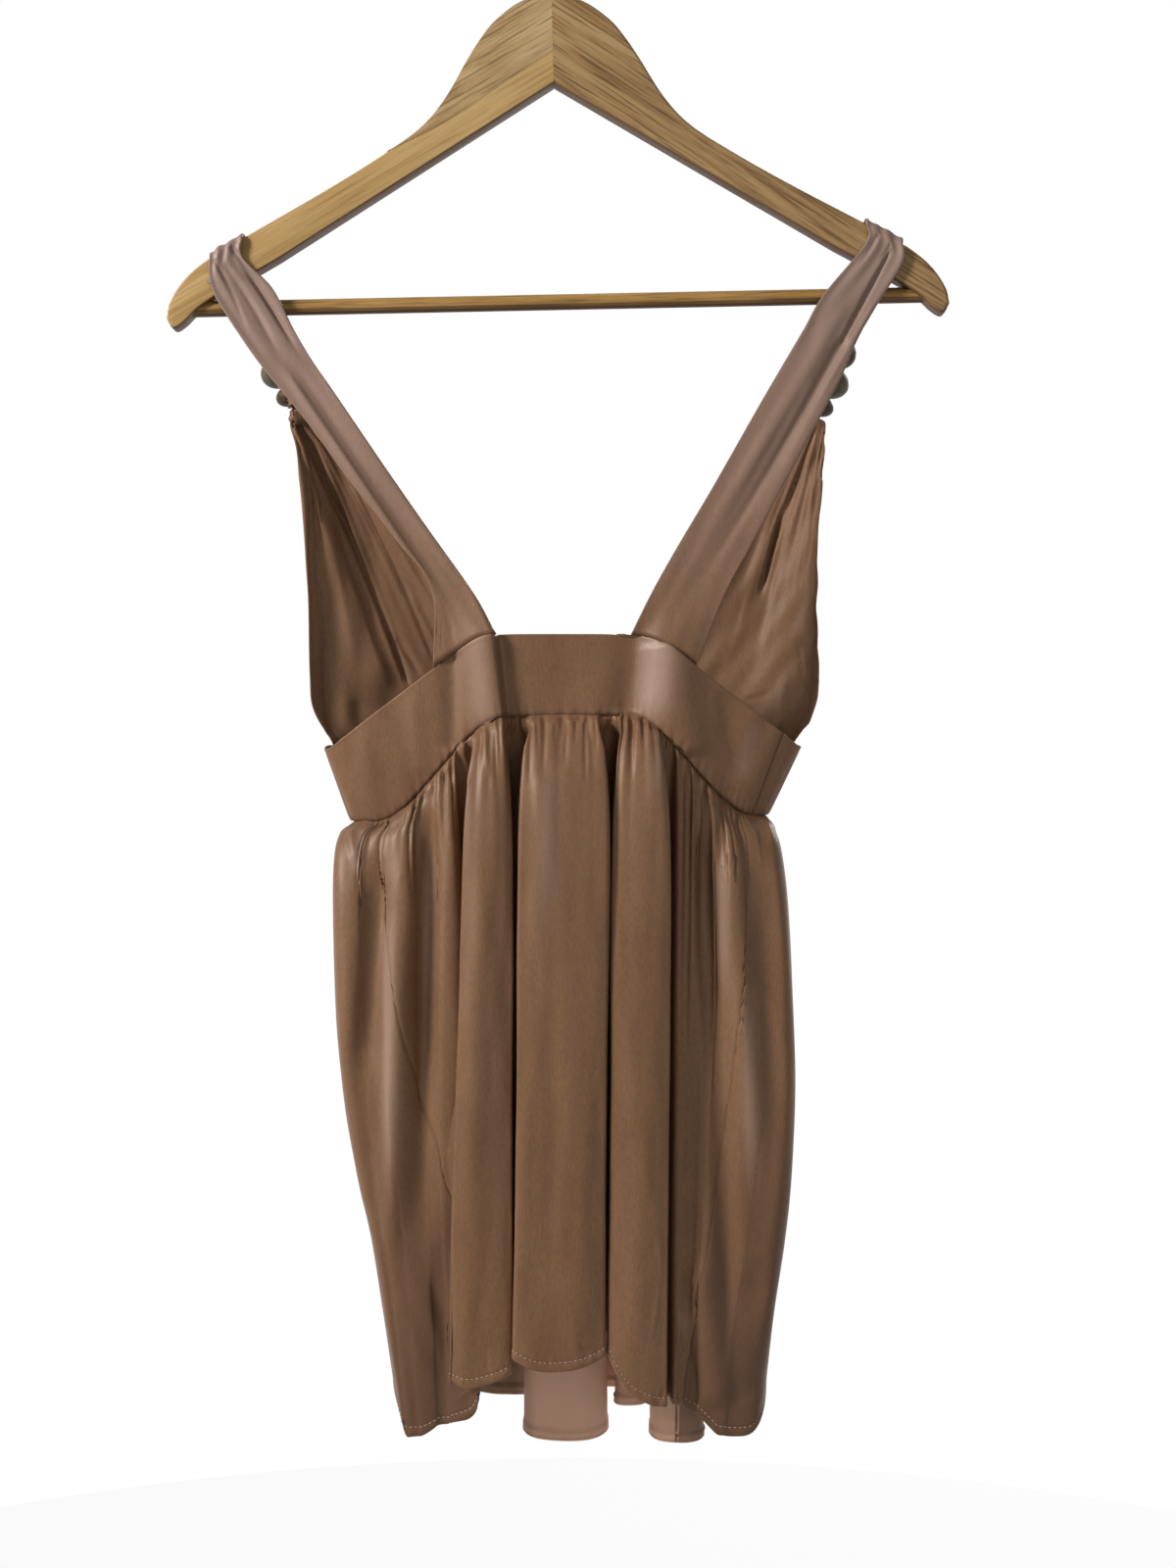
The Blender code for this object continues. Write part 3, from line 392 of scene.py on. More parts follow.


# Wood with its grain along the piece: turn is the slope of the grain, under the painted shade of
# its lower faces, darker where they face down away from the light, pores how strongly the pores
# show
def woodFinish(name, turn, light, middle, dark, under, stretch, pores):
    finish, tree, shader = startFinish(name)
    place = stretchedPlace(tree, turn, stretch)
    rings = noise(tree, place, 1.6, 6.0, 0.62, 0.7)
    grain = ramp(tree, rings, ((0.30, dark), (0.47, middle), (0.68, light)))
    thin = stretchedPlace(tree, turn, (22.0, 700.0, 700.0))
    pore = noise(tree, thin, 1.0, 2.0)
    poreShade = ramp(tree, pore, ((0.36, (0.30, 0.24, 0.18)), (0.47, (1.0, 1.0, 1.0))))
    colour = mixColour(tree, pores, grain, poreShade, "MULTIPLY")
    facing = axisOf(tree, "Z", addNode(tree, "ShaderNodeNewGeometry").outputs["Normal"])
    # painted shade on faces that turn downward
    colour = mixColour(tree, spread(tree, facing, 1.0, 0.0, -0.75, -0.15), colour, under)
    tree.links.new(colour, shader.inputs["Base Color"])
    tree.links.new(spread(tree, rings, 0.42, 0.6, 0.3, 0.7), shader.inputs["Roughness"])
    coarse = relief(tree, rings, 0.25, 0.0006)
    tree.links.new(relief(tree, pore, 0.35, 0.0003, coarse), shader.inputs["Normal"])
    shader.inputs["Specular IOR Level"].default_value = 0.25
    return finish


def steelFinish(name):
    finish, tree, shader = startFinish(name)
    place = stretchedPlace(tree, 0.0, (300.0, 300.0, 40.0))
    rubbed = noise(tree, place, 1.0, 3.0)
    tree.links.new(ramp(tree, rubbed, ((0.3, (0.19, 0.19, 0.20)), (0.7, (0.30, 0.30, 0.30)))),
                   shader.inputs["Base Color"])
    tree.links.new(spread(tree, rubbed, 0.22, 0.42, 0.3, 0.7), shader.inputs["Roughness"])
    shader.inputs["Metallic"].default_value = 1.0
    return finish


# Turned bead, streaked from pole to pole
def beadFinish(name, light, dark, roughness):
    finish, tree, shader = startFinish(name)
    place = stretchedPlace(tree, 0.0, (260.0, 260.0, 35.0))
    streaks = noise(tree, place, 1.0, 4.0, 0.6, 0.4)
    tree.links.new(ramp(tree, streaks, ((0.33, dark), (0.66, light))),
                   shader.inputs["Base Color"])
    tree.links.new(spread(tree, streaks, roughness - 0.06, roughness + 0.1, 0.3, 0.7),
                   shader.inputs["Roughness"])
    tree.links.new(relief(tree, streaks, 0.2, 0.0004), shader.inputs["Normal"])
    shader.inputs["Specular IOR Level"].default_value = 0.22
    return finish


def threadFinish(name, shade):
    finish, tree, shader = startFinish(name)
    place = stretchedPlace(tree, 0.0, (1.0, 1.0, 1.0))
    twist = noise(tree, place, 2600.0, 2.0)
    tree.links.new(ramp(tree, twist, ((0.3, tuple(c * 0.7 for c in shade)), (0.7, shade))),
                   shader.inputs["Base Color"])
    tree.links.new(relief(tree, twist, 0.4, 0.0002), shader.inputs["Normal"])
    shader.inputs["Roughness"].default_value = 0.5
    return finish


# slopes in radians: the grain of the two arms, and how far the whole hanger tilts
grainLeft, grainRight, tilt = math.radians(30.2), math.radians(-34.0), math.radians(1.15)
finishes = {
    "satin": satinFinish("satin_outside"),
    # side panels: painted light on their reverse, painted shade towards the hem
    "satinSide": satinFinish("satin_side", paintedReverseLight=True, low=True),
    "satinInside": satinFinish("satin_inside", tint=0.96, dull=0.03, rougher=0.10),
    # far side, with painted light on its reverse
    "satinFar": satinFinish("satin_far", paintedReverseLight=True),
    # straps, with painted sheen towards the top
    "satinStrap": satinFinish("satin_strap", top=True),
    "thread": threadFinish("sewing_thread", (0.46, 0.31, 0.22)),
    "woodDome": woodFinish("wood_dome", grainLeft, (0.52, 0.365, 0.19), (0.385, 0.25, 0.11),
                           (0.24, 0.14, 0.06), (0.11, 0.055, 0.023), (9.0, 70.0, 70.0), 0.65),
    "woodStick": woodFinish("wood_stick", grainLeft, (0.55, 0.365, 0.155), (0.45, 0.275, 0.10),
                            (0.33, 0.185, 0.065), (0.10, 0.048, 0.02), (4.0, 60.0, 60.0), 0.3),
    "woodRight": woodFinish("wood_right", grainRight, (0.43, 0.28, 0.125), (0.32, 0.19, 0.075),
                            (0.165, 0.09, 0.035), (0.11, 0.055, 0.023), (8.0, 95.0, 95.0), 0.8),
    "woodBar": woodFinish("wood_bar", tilt, (0.46, 0.265, 0.085), (0.31, 0.17, 0.048),
                          (0.14, 0.066, 0.02), (0.10, 0.05, 0.02), (4.5, 90.0, 90.0), 0.7),
    "steel": steelFinish("hook_steel"),
    "olive": beadFinish("bead_olive", (0.118, 0.090, 0.052), (0.048, 0.034, 0.019), 0.46),
    "brown": beadFinish("bead_brown", (0.088, 0.047, 0.023), (0.034, 0.017, 0.008), 0.50),
}
print("finishes ready:", len(finishes))

# The wooden hanger: a left arm glued from two boards, a right arm of one
hanger = {
    "thick": 14.0,
    "easedEdge": 2.4,
    "space": 0.03,                      # half of the mitre's gap
    "top": ((0.0, -62.5), (17.0, -66.0), (32.5, -77.0), (41.5, -88.0), (49.0, -99.5),
            (62.0, -121.0), (77.0, -137.5), (102.5, -154.5), (135.0, -173.5),
            (176.0, -196.0), (199.0, -209.5), (211.5, -220.5), (219.0, -232.0),
            (221.0, -241.0)),
    "foot": ((217.5, -246.5), (211.5, -243.5), (203.0, -235.5), (189.0, -226.5),
             (157.0, -208.5)),
    "footMiddle": (0.0, -112.5),
    # glue line across the left arm, from the mitre to the arm's top edge
    "joint": ((0.0, -93.4), (-33.0, -115.5), (-66.0, -136.0), (-94.5, -149.3)),
    "jointGap": 0.06,
    "bar": 4.6, "barHeight": -235.0, "barEnd": 208.6,
    "nail": (-192.0, -224.5), "nailSize": 1.5,
}


# Round bar, or a nail's head where end is smaller, along Z in the middle
def turnedMesh(name, radius, end, length, segments):
    work = bmesh.new()
    bmesh.ops.create_cone(work, cap_ends=True, segments=segments, radius1=radius * mm,
                          radius2=end * mm, depth=length * mm)
    mesh = bpy.data.meshes.new(name)
    work.to_mesh(mesh)
    work.free()
    return mesh


# Bores the hole for the bar through an arm
def boreForBar(piece):
    size, length = hanger["bar"], 2 * hanger["barEnd"]
    tool = bpy.data.objects.new("hole", turnedMesh("hole", size, size, length, 48))
    bpy.context.collection.objects.link(tool)
    tool.location = (0.0, 0.0, hanger["barHeight"] * mm)
    tool.rotation_euler = (0.0, math.pi / 2, 0.0)
    cut = piece.modifiers.new("hole", "BOOLEAN")
    cut.operation, cut.solver, cut.object = "DIFFERENCE", "EXACT", tool
    bpy.context.view_layer.update()
    solid = bpy.data.meshes.new_from_object(
        piece.evaluated_get(bpy.context.evaluated_depsgraph_get()))
    piece.modifiers.clear()
    piece.data = solid
    bpy.data.objects.remove(tool, do_unlink=True)


# Mesh with its points and faces in a fixed order, which rounding edges doesn't keep
def orderedMesh(name, work):
    verts = sorted(work.verts, key=lambda vert: tuple(vert.co))
    placeOf = {vert: place for place, vert in enumerate(verts)}
    faces = []
    for face in work.faces:
        around = [placeOf[vert] for vert in face.verts]
        first = around.index(min(around))
        faces.append(around[first:] + around[:first])
    mesh = bpy.data.meshes.new(name)
    mesh.from_pydata([tuple(vert.co) for vert in verts], [], sorted(faces))
    return mesh


# One board of the hanger, or the part of it above or below the glue line
def boardOutline(part):
    top = smoothCurve(hanger["top"], 5)
    foot = smoothCurve((hanger["top"][-1],) + hanger["foot"], 5)
    if part != "whole":
        joint = smoothCurve(hanger["joint"], 5) * (-1.0, 1.0)
        joint[:, 1] += hanger["jointGap"] if part == "above" else -hanger["jointGap"]
        above = top[:, 0] < joint[-1, 0] - 0.3
    if part == "above":
        return np.vstack([top[above], joint[::-1]])
    if part == "below":
        top = np.vstack([joint, top[~above]])
    return np.vstack([top, foot[1:], [hanger["footMiddle"]]])


def hangerBoard(name, side, finish, part):
    outline = boardOutline(part) * (side, 1.0)
    outline[:, 0] += side * hanger["space"]
    half = hanger["thick"] / 2
    work = bmesh.new()
    ring = [work.verts.new((x * mm, -half * mm, z * mm)) for x, z in outline]
    board = work.faces.new(ring)
    grown = bmesh.ops.extrude_face_region(work, geom=[board])["geom"]
    moved = [v for v in grown if isinstance(v, bmesh.types.BMVert)]
    bmesh.ops.translate(work, verts=moved, vec=(0.0, 2 * half * mm, 0.0))
    bmesh.ops.recalc_face_normals(work, faces=work.faces)

    def atJoint(vert):
        x = min(vert.co.x / mm, hanger["joint"][0][0])
        line = np.array(hanger["joint"][::-1])
        return (part != "whole" and x > line[0, 0] - 1
                and abs(np.interp(x, line[:, 0], line[:, 1]) - vert.co.z / mm) < 1.2)

    rims = [e for e in work.edges
            if abs(e.verts[0].co.y - e.verts[1].co.y) < 1e-6
            and max(abs(v.co.x) for v in e.verts) > (hanger["space"] + 0.01) * mm
            and not (atJoint(e.verts[0]) and atJoint(e.verts[1]))]
    bmesh.ops.bevel(work, geom=rims, offset=hanger["easedEdge"] * mm, segments=4,
                    profile=0.5, affect="EDGES", clamp_overlap=True)
    mesh = orderedMesh(name, work)
    work.free()
    piece = addPiece(name, mesh, finish)
    if part != "above":
        boreForBar(piece)
    piece.data.shade_smooth()
    piece.data.set_sharp_from_angle(angle=math.radians(38))
    piece.rotation_euler = (0.0, -tilt, 0.0)
    return piece


dome = hangerBoard("hanger_dome_left", -1, finishes["woodDome"], "above")
stick = hangerBoard("hanger_stick_left", -1, finishes["woodStick"], "below")
rightArm = hangerBoard("hanger_board_right", 1, finishes["woodRight"], "whole")
for piece, node in ((stick, "hanger_arm_left"), (rightArm, "hanger_arm_right")):
    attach(piece, "root")
    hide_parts(node)
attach(dome, "root")

nailMesh = turnedMesh("hanger_nail", hanger["nailSize"], hanger["nailSize"] * 0.8, 1.0, 24)
nail = addPiece("hanger_nail", nailMesh, finishes["steel"])
nail.rotation_euler = (math.pi / 2, 0.0, 0.0)
nail.location = (hanger["nail"][0] * mm, -(hanger["thick"] / 2 + 0.1) * mm,
                 hanger["nail"][1] * mm)
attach(nail, "root")
for node, finish in (("hanger_bar", "woodBar"), ("hanger_hook", "steel")):
    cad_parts[node].data.materials.clear()
    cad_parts[node].data.materials.append(finishes[finish])
print("hanger done")

# The band under the bust
bandEdge = namedtuple("bandEdge", "left right rear front")
band = {
    "top": bandEdge(-128.0, 142.5, 29.0, 31.0),
    "bottom": bandEdge(-113.0, 124.0, 27.0, 30.0),
    "squareness": 2.4,
    "middle": 9.4,
    "topHeight": -424.8, "topFlat": 48.0, "topSlope": 0.74,
    "bottomHeight": -470.0, "bottomFlat": 34.0, "bottomReach": 108.0,
    "frontTop": -486.0, "frontBottom": -527.5,
    "lean": 0.014,
    "seamLeft": -math.pi - 0.12, "seamRight": -0.45,
    "around": 112.0,        # mean radius, by which angles are turned to lengths
    # the flat middle lies in, between two ridges with their slopes beside it
    "recess": (-24.5, 45.0), "recessDepth": 1.8, "recessWidens": (5.0, 4.5),
    "ridges": (4.8, 6.6), "ridgeSlopes": (25.0, 22.0, 58.0),
    "thickness": 1.4,
    "curl": 0.5,            # how deep the sewn edge turns in
    # painted highlights on the band's ridges: x0 z0 x1 z1 bow left right strength start end
    "paintedHighlights": (
        (-42, -422, -34.5, -484, 0, 8, 8, 0.32, 0.05, 0.3),
        (60.5, -420, 54, -482, 0, 7.5, 12, 0.50, 0.05, 0.4),
        (115, -470, 106, -510, 0, 4, 5, 0.2, 0.3, 0.3)),
    # x0 z0 x1 z1 bow left right lift start end
    "creases": (
        (-54, -433, -53.5, -490.5, 0, 6, 4, -2.2, 0.1, 0.1),
        (-35, -422, -29, -480, 0, 13, 4, 1.2, 0.05, 0.1),
        (45.5, -423, 42, -470, 0, 8, 6, -1.8, 0.05, 0.1),
        (69, -428, 80, -494, 0, 13, 10, 2.0, 0.05, 0.1),
        (-25.5, -425.5, -23.5, -448.5, 0, 3, 4, -0.5, 0.1, 0.6),
        (-76.5, -456.5, -71, -508, 0, 4, 5, 0.6, 0.2, 0.2),
        (95, -453.5, 104.5, -502.5, 0, 4, 5, -0.6, 0.2, 0.2)),
    "creasesFront": (
        (-80, -488, -74, -526, 0, 5, 6, 0.8, 0.1, 0.2),
        (-36, -488, -40, -526, 0, 4, 6, -0.8, 0.1, 0.2),
        (12, -486, 8, -526, 0, 6, 5, 0.7, 0.1, 0.2),
        (58, -487, 62, -526, 0, 5, 5, -0.8, 0.1, 0.2),
        (96, -489, 90, -526, 0, 6, 5, 0.8, 0.1, 0.2)),
}


# Plan of the band, a squarish oval: level is 0 at its top edge and 1 at its bottom edge
def bandOval(angle, level):
    left, right, rear, front = (np.multiply.outer(1 - np.asarray(level), band["top"])
                              + np.multiply.outer(np.asarray(level), band["bottom"])
                              ).transpose((-1,) + tuple(range(np.ndim(level))))
    power = 2.0 / band["squareness"]
    cosine, sine = np.cos(angle), np.sin(angle)
    x = (left + right) / 2 + (right - left) / 2 * np.sign(cosine) * np.abs(cosine) ** power
    depth = np.where(sine < 0, rear, front)
    y = depth * np.sign(sine) * np.abs(sine) ** power
    behind = ease(-sine, 0.3, 0.8)
    start, end = band["recess"]
    start = start - band["recessWidens"][0] * (1 - level)
    end = end + band["recessWidens"][1] * (1 - level)
    recess = ease(x, start - 2, start + 3) * (1 - ease(x, end - 1, end + 13))
    (high, higher), (before, after, far) = band["ridges"], band["ridgeSlopes"]
    ridges = (high * ease(x, start - before, start - 2) * (1 - ease(x, start - 2, start + 2))
              + higher * ease(x, end - 2, end + after) * (1 - ease(x, end + 18, end + far)))
    return x, y + behind * (band["recessDepth"] * recess - ridges)


# Angle at which the band lies at a place across
def bandAngle(across, level, behind=True):
    left = band["top"].left * (1 - level) + band["bottom"].left * level
    right = band["top"].right * (1 - level) + band["bottom"].right * level
    share = np.clip((across - (left + right) / 2) / ((right - left) / 2), -0.999, 0.999)
    angle = np.arccos(np.sign(share) * np.abs(share) ** (band["squareness"] / 2.0))
    return -angle if behind else angle


def bandHeights(angle):
    xTop = bandOval(angle, 0.0)[0]
    xBottom = bandOval(angle, 1.0)[0]
    topDrop = band["topSlope"] * softRamp(np.abs(xTop - band["middle"]) - band["topFlat"], 5.0)
    bottomDrop = ((band["bottomHeight"] - band["frontBottom"])
                  * ease(np.abs(xBottom - band["middle"]), band["bottomFlat"],
                         band["bottomReach"]))
    front = ease(np.sin(angle), -0.45, 0.25)
    top = (band["topHeight"] - topDrop) * (1 - front) + band["frontTop"] * front
    bottom = (band["bottomHeight"] - bottomDrop) * (1 - front) + band["frontBottom"] * front
    return top, bottom + band["lean"] * (xBottom - band["middle"])


def bandPoint(angle, level):
    top, bottom = bandHeights(angle)
    x, y = bandOval(angle, level)
    return np.stack([x, y, top * (1 - level) + bottom * level], axis=-1)


# The gathered skirt
fold = namedtuple("fold", "name leftTop rightTop leftHem rightHem face gap gapHem"
                          " rootLeft rootRight hemLeft hemIn hemOut hemRight hemGap")
corner = namedtuple("corner", "name angle band hem hemHeight round outward")
skirt = {
    # level left right: how far out the sides hang, 0 at the band and 1 at the hem
    "sides": ((0.00, -113.0, 124.0), (0.02, -118.5, 127.0), (0.06, -121.3, 131.0),
              (0.15, -121.4, 134.5), (0.30, -120.0, 137.2), (0.45, -116.7, 138.9),
              (0.60, -110.0, 137.0), (0.72, -102.2, 132.8), (0.85, -95.8, 126.7),
              (1.00, -88.0, 122.0)),
    # Folds from left to right: their edges at the top and at the hem, how far out the
    # face and the gap after it lie, how far the roots tuck in under the fold, then the
    # heights of the hem. The sides of the first and the last come from "sides".
    "backFolds": (
        ("sideLeft", None, -97, None, -79, -30, -28.8, -31, 0, 0, -859, -868, -871, -870,
         -869),
        ("narrow1", -86, -72, -70, -62, -32, -28, -31, 0, 0, -869, -868, -866, -865,
         -864),
        ("narrow2", -64, -51, -55, -36, -32, -12, -12, 0, 2, -863, -861, -860, -858, -838),
        ("broadLeft", -45.1, -19.8, -53.8, -19.6, -45, -8, -8, 7, 7, -836, -840, -836, -831,
         -826),
        ("broadMiddle", -15.5, 33, -19.3, 31.3, -49, -8, -8, 7, 7, -822, -830, -828, -821,
         -818),
        ("broadRight", 36.2, 67.2, 32.1, 65.3, -45, -11, -20, 5, 4, -819, -840, -849, -850,
         -850),
        ("narrow3", 69.0, 75, 67.5, 71.0, -31, -26.5, -30, 0, 0, -851, -852, -852, -852, -852),
        ("narrow4", 78.5, 84, 74.5, 77.4, -30, -27.5, -31, 0, 0, -853, -854, -854, -855, -856),
        ("narrow5", 88, 101, 82.5, 91.0, -33, -31.2, -33, 0, 0, -857, -861, -861, -866,
         -868),
        ("sideRight", 112, None, 99, None, -32, 0, 0, 0, 0, -869, -875, -875, -869, 0)),
    "frontFolds": (
        ("front1", -107, -66, -85, -70, 44, 12, 12, 8, 8, -857, -861, -863, -863, -862),
        ("front2", -50, -5, -52, -5, 54, 8, 8, 10, 17.9, -862, -869, -869, -868, -883),
        ("front3", 20, 48, 20, 48, 52, 20, 20, 20.8, 15.6, -866, -864, -864, -864, -866),
        ("front4", 50, 66, 50, 66, 48, 8, 8, 8.5, 15.8, -866, -867, -867, -870, -884),
        ("front5", 74, 112, 74, 110, 46, 12, 12, 21.9, 10, -872, -872, -872, -872, -868)),
    "wideFold": 22.0, "faceShare": 0.27,
    "crown": 1.9, "edgeBack": 0.6,      # the face stands out in the middle, back at its edges
    # how far the right edge lies in at the hem
    "turned": {"broadLeft": 2.5, "broadMiddle": 2.0, "broadRight": 1.5},
    "crispFolds": ("broadLeft", "broadMiddle", "broadRight"),
    "crispRound": 0.17, "crispIn": 0.10,
    "softRound": 0.5, "softIn": 0.04,
    "gapWider": 2.4,        # the gap beside a crisp fold takes this much of the band
    # level shift: the crisp folds are narrow at the band, then their edges close up
    "closing": ((0.0, -3.4), (0.03, -2.7), (0.08, -1.0), (0.15, 0.35), (0.25, 0.85),
                (0.4, 0.85), (0.6, 0.5), (1.0, -0.1)),
    "valleysFaded": 0.55,
    "sideHem": -850.0, "sideAngle": 0.16, "sideDepth": 13.0, "middle": 10.0,
    # shares of the drop over which folds open: sideways, at the sides, in and out
    "opensBy": (0.055, 0.020, 0.055), "hollowsBy": 0.08,
    "tucked": "narrow2", "tuckStart": 0.40, "tuckFull": 0.62, "tuckWidth": 18.0,
    "tuckOpen": 2.5,
    "seamValleys": ("sideLeft_gap", "narrow5_gap", "front4_gap", "front1_gap"),
    # height and place across of the two seams behind
    "seamLeft": ((-500, -98), (-529, -97), (-566, -94), (-584.5, -91), (-641, -82),
                 (-670.5, -74), (-734, -54.5), (-765, -45), (-800, -40), (-900, -40)),
    "seamRight": ((-500, 111.5), (-547, 111), (-603.5, 108), (-641, 104), (-689, 98.5),
                  (-734, 92.5), (-790, 84), (-828, 76.5), (-853.5, 71), (-900, 68)),
    "driftReach": 15.0, "driftFrom": 0.07,
    "pastSeam": 12,         # columns past each seam while a panel is shaped
    "allowance": 2,         # columns that the back panel keeps, under those beside it
    "softness": 2.2,
    "thickness": 0.6,
    "hemThickness": 1.5,
    "hemWidth": 5.0,
    "gatherEvery": (0.034, 0.062),      # in radians round the band
    "gatherDepth": (1.3, 3.0),
    "gatherWidth": (1.0, 2.0),
    "gatherLength": (12.0, 70.0),
    "tinyGathers": 2.9,
    "tuckedIn": 2.3,                    # how far the top edge lies behind the band
    "waves": 0.6,
    "ripple": 0.09,
    "wrinkles": {"count": 70, "across": (-112, 128), "lowest": -860, "rise": 330,
                 "length": (9, 30), "width": (1.0, 2.6), "lift": (0.2, 0.5)},
    # x0 z0 x1 z1 bow left right lift start end
    "creases": (
        (-111.5, -533, -107, -552.5, 0, 2.6, 3.0, 1.4, 0.2, 0.3),
        (-74.5, -514.5, -73, -578, 0, 1.2, 1.2, -0.5, 0, 0.5),
        (-58, -501.5, -56, -564.5, 0, 1.3, 1.3, -0.9, 0, 0.4),
        (-48.5, -485, -44, -512.5, 0, 1.6, 1.6, 1.2, 0, 0.4),
        (-78, -775, -57, -830, 0, 3, 3.5, 0.9, 0.35, 0.3),
        (-84.5, -787, -65.5, -838.5, 0, 3, 3, 0.7, 0.35, 0.3),
        (-70, -770, -51.5, -824.5, 0, 2.5, 3.5, -0.9, 0.4, 0.3),
        (-35.5, -478.5, -32.5, -508, 0, 1.5, 1.6, 1, 0, 0.5),
        (-30, -477, -28, -520, 0, 1.2, 1.2, -1, 0, 0.6),
        (-31, -516, -43, -788, -3.2, 6, 6, 0.9, 0.3, 0.3),
        (-10, -474.5, -11, -511.5, 0, 1, 1.2, -1.1, 0, 0.6),
        (-6.5, -474.5, -6, -493, 0, 0.8, 0.8, -0.7, 0, 0.6),
        (-2, -474.5, -3, -507, 0, 1, 1, -0.9, 0, 0.7),
        (3.5, -473.5, 3.5, -488.5, 0, 0.9, 0.9, -0.7, 0, 0.7),
        (10, -473, 8.5, -506, 0, 1.2, 1.2, -1, 0, 0.7),
        (15, -473, 14.5, -490, 0, 0.8, 0.8, -0.6, 0, 0.7),
        (20, -473, 20.5, -514.5, 0, 1.2, 1.2, -1, 0, 0.6),
        (25.5, -474, 26.5, -495, 0, 1, 1, -0.8, 0, 0.7),
        (-6, -478.5, -6, -540.5, 0, 2.5, 3.5, 0.9, 0.05, 0.6),
        (46, -473, 45.5, -511.5, 0, 1.1, 1.2, -1, 0, 0.6),
        (52, -471.5, 52.5, -491, 0, 0.9, 0.9, -0.8, 0, 0.7),
        (57.5, -478.5, 58.5, -544.5, 0, 3.5, 4, 1, 0.05, 0.6),
        (63, -477, 65, -506, 0, 1, 1.2, -0.9, 0, 0.6),
        (72.5, -487.5, 73, -594.5, 0, 2, 2, 0.5, 0.1, 0.5),
        (81.5, -486.5, 83, -551, 0, 1.3, 1.3, -0.8, 0, 0.5),
        (92, -492, 91.5, -570, 0, 2.2, 2.2, 0.7, 0.1, 0.4),
        (95.5, -508, 96, -578, 0, 1.6, 1.6, -0.7, 0.1, 0.4),
        (121, -523, 125.5, -543.5, 0, 1.8, 1.8, 1, 0.15, 0.4),
        (77, -822, 81, -851.5, 1.6, 1.4, 1.8, -1.2, 0.2, 0.1),
        (68, -800, 82, -803.5, 0, 2.5, 2.5, 0.9, 0.3, 0.3),
        # broad soft ridges and hollows
        (-103, -540, -112, -665, 0, 8, 8, 2.2, 0.25, 0.3),
        (-92, -535, -104, -700, 0, 7.5, 5.5, -3.9, 0.3, 0.35),
        (-79.5, -535, -87.5, -785, -1, 6.5, 6.5, 5.6, 0.25, 0.25),
        (-65.5, -515, -71.5, -800, 0, 6, 5.5, -4.6, 0.12, 0.3),
        (-56, -505, -57, -655, 0, 5, 5, 1.6, 0.05, 0.3),
        (-104, -749, -96, -747, 0, 1.5, 2.2, -0.8, 0.3, 0.3),
        (-37.5, -508, -44, -824.5, 0, 6, 8, 0.8, 0.1, 0.15),
        (-3.5, -502.5, -7, -620.5, 0, 5, 7, 1.0, 0.05, 0.4),
        (3, -551, 1.5, -792.5, 0, 5, 5, -0.9, 0.3, 0.3),
        (17.5, -610, 15, -824.5, 0, 10, 10, 0.9, 0.3, 0.2),
        (-10, -640, -16, -800, 0, 5, 4, 0.7, 0.3, 0.2),
        (51, -502.5, 48.5, -830, 0, 7, 8, 0.8, 0.1, 0.1),
        (99, -530, 117, -735, -1.5, 8.5, 9, 4.6, 0.15, 0.3),
        (84.5, -522, 101.5, -835, 1, 6.0, 6, -5.2, 0.12, 0.2),
        (118.5, -560, 124, -690, 0, 8, 8, -1.8, 0.3, 0.3),
        (80.5, -768, 95, -853, 0, 7, 6, 2.8, 0.2, 0.1),
        (114, -770, 118.5, -850, 0, 9, 7, -3.0, 0.25, 0.1),
        (94, -527, 95, -600, 0, 3, 3, -1.3, 0.15, 0.4),
        (72, -800, 77, -818, 0, 4, 4, 1.4, 0.3, 0.3),
        # the lower left turns away towards the right
        (-83, -735, -73, -880, 0, 9, 20, 2.4, 0.5, 0.05),
        (-62, -745, -58, -880, 0, 18, 9, -3.4, 0.4, 0.05)),
    # painted highlights, pale where the sheen catches the light, with a strength in place of the
    # lift
    "paintedHighlights": (
        (-90.5, -565, -88.5, -745, 0, 2.6, 5.0, 0.44, 0.25, 0.4),
        (-104, -530, -109, -560, 0, 3.0, 3.0, 0.35, 0.3, 0.3),
        (-66, -540, -68, -640, 0, 3.5, 4.5, 0.16, 0.3, 0.4),
        (-1, -490, -2, -610, 0, 4.0, 6.0, 0.20, 0.2, 0.5),
        (-34, -500, -36, -560, 0, 4.0, 5.0, 0.12, 0.3, 0.5),
        (60, -484, 60, -520, 0, 3.0, 3.5, 0.22, 0.2, 0.5),
        (94, -545, 97, -632, 0, 2.6, 4.5, 0.32, 0.3, 0.4),
        (107.5, -605, 111.5, -745, 0, 2.4, 6.0, 0.26, 0.3, 0.4),
        (72, -796, 75, -812, 0, 3.0, 2.5, 0.22, 0.3, 0.3)),
    "creasesFront": (
        (-84, -528, -86, -640, 0, 3, 4, 1.0, 0, 0.6),
        (-92, -528, -94, -590, 0, 1.3, 1.3, -1.0, 0, 0.6),
        (-73, -528, -72, -575, 0, 1.2, 1.2, -0.9, 0, 0.6),
        (-36, -528, -38, -600, 0, 1.4, 1.4, -1.1, 0, 0.6),
        (-24, -528, -20, -680, 3, 5, 6, 1.1, 0, 0.5),
        (-12, -528, -13, -575, 0, 1.2, 1.2, -1.0, 0, 0.6),
        (28, -528, 27, -590, 0, 1.3, 1.3, -1.0, 0, 0.6),
        (38, -528, 40, -660, 0, 4, 4, 0.9, 0, 0.5),
        (58, -528, 57, -610, 0, 1.6, 1.6, -0.9, 0, 0.5),
        (84, -528, 82, -590, 0, 1.3, 1.3, -1.0, 0, 0.6),
        (95, -528, 97, -690, -3, 5, 5, 1.0, 0, 0.5),
        (104, -528, 105, -570, 0, 1.2, 1.2, -0.9, 0, 0.6),
        (-30, -760, -44, -860, 0, 4, 6, 0.9, 0.3, 0.2),
        (96, -740, 88, -858, 2, 5, 4, -1.0, 0.3, 0.2)),
}


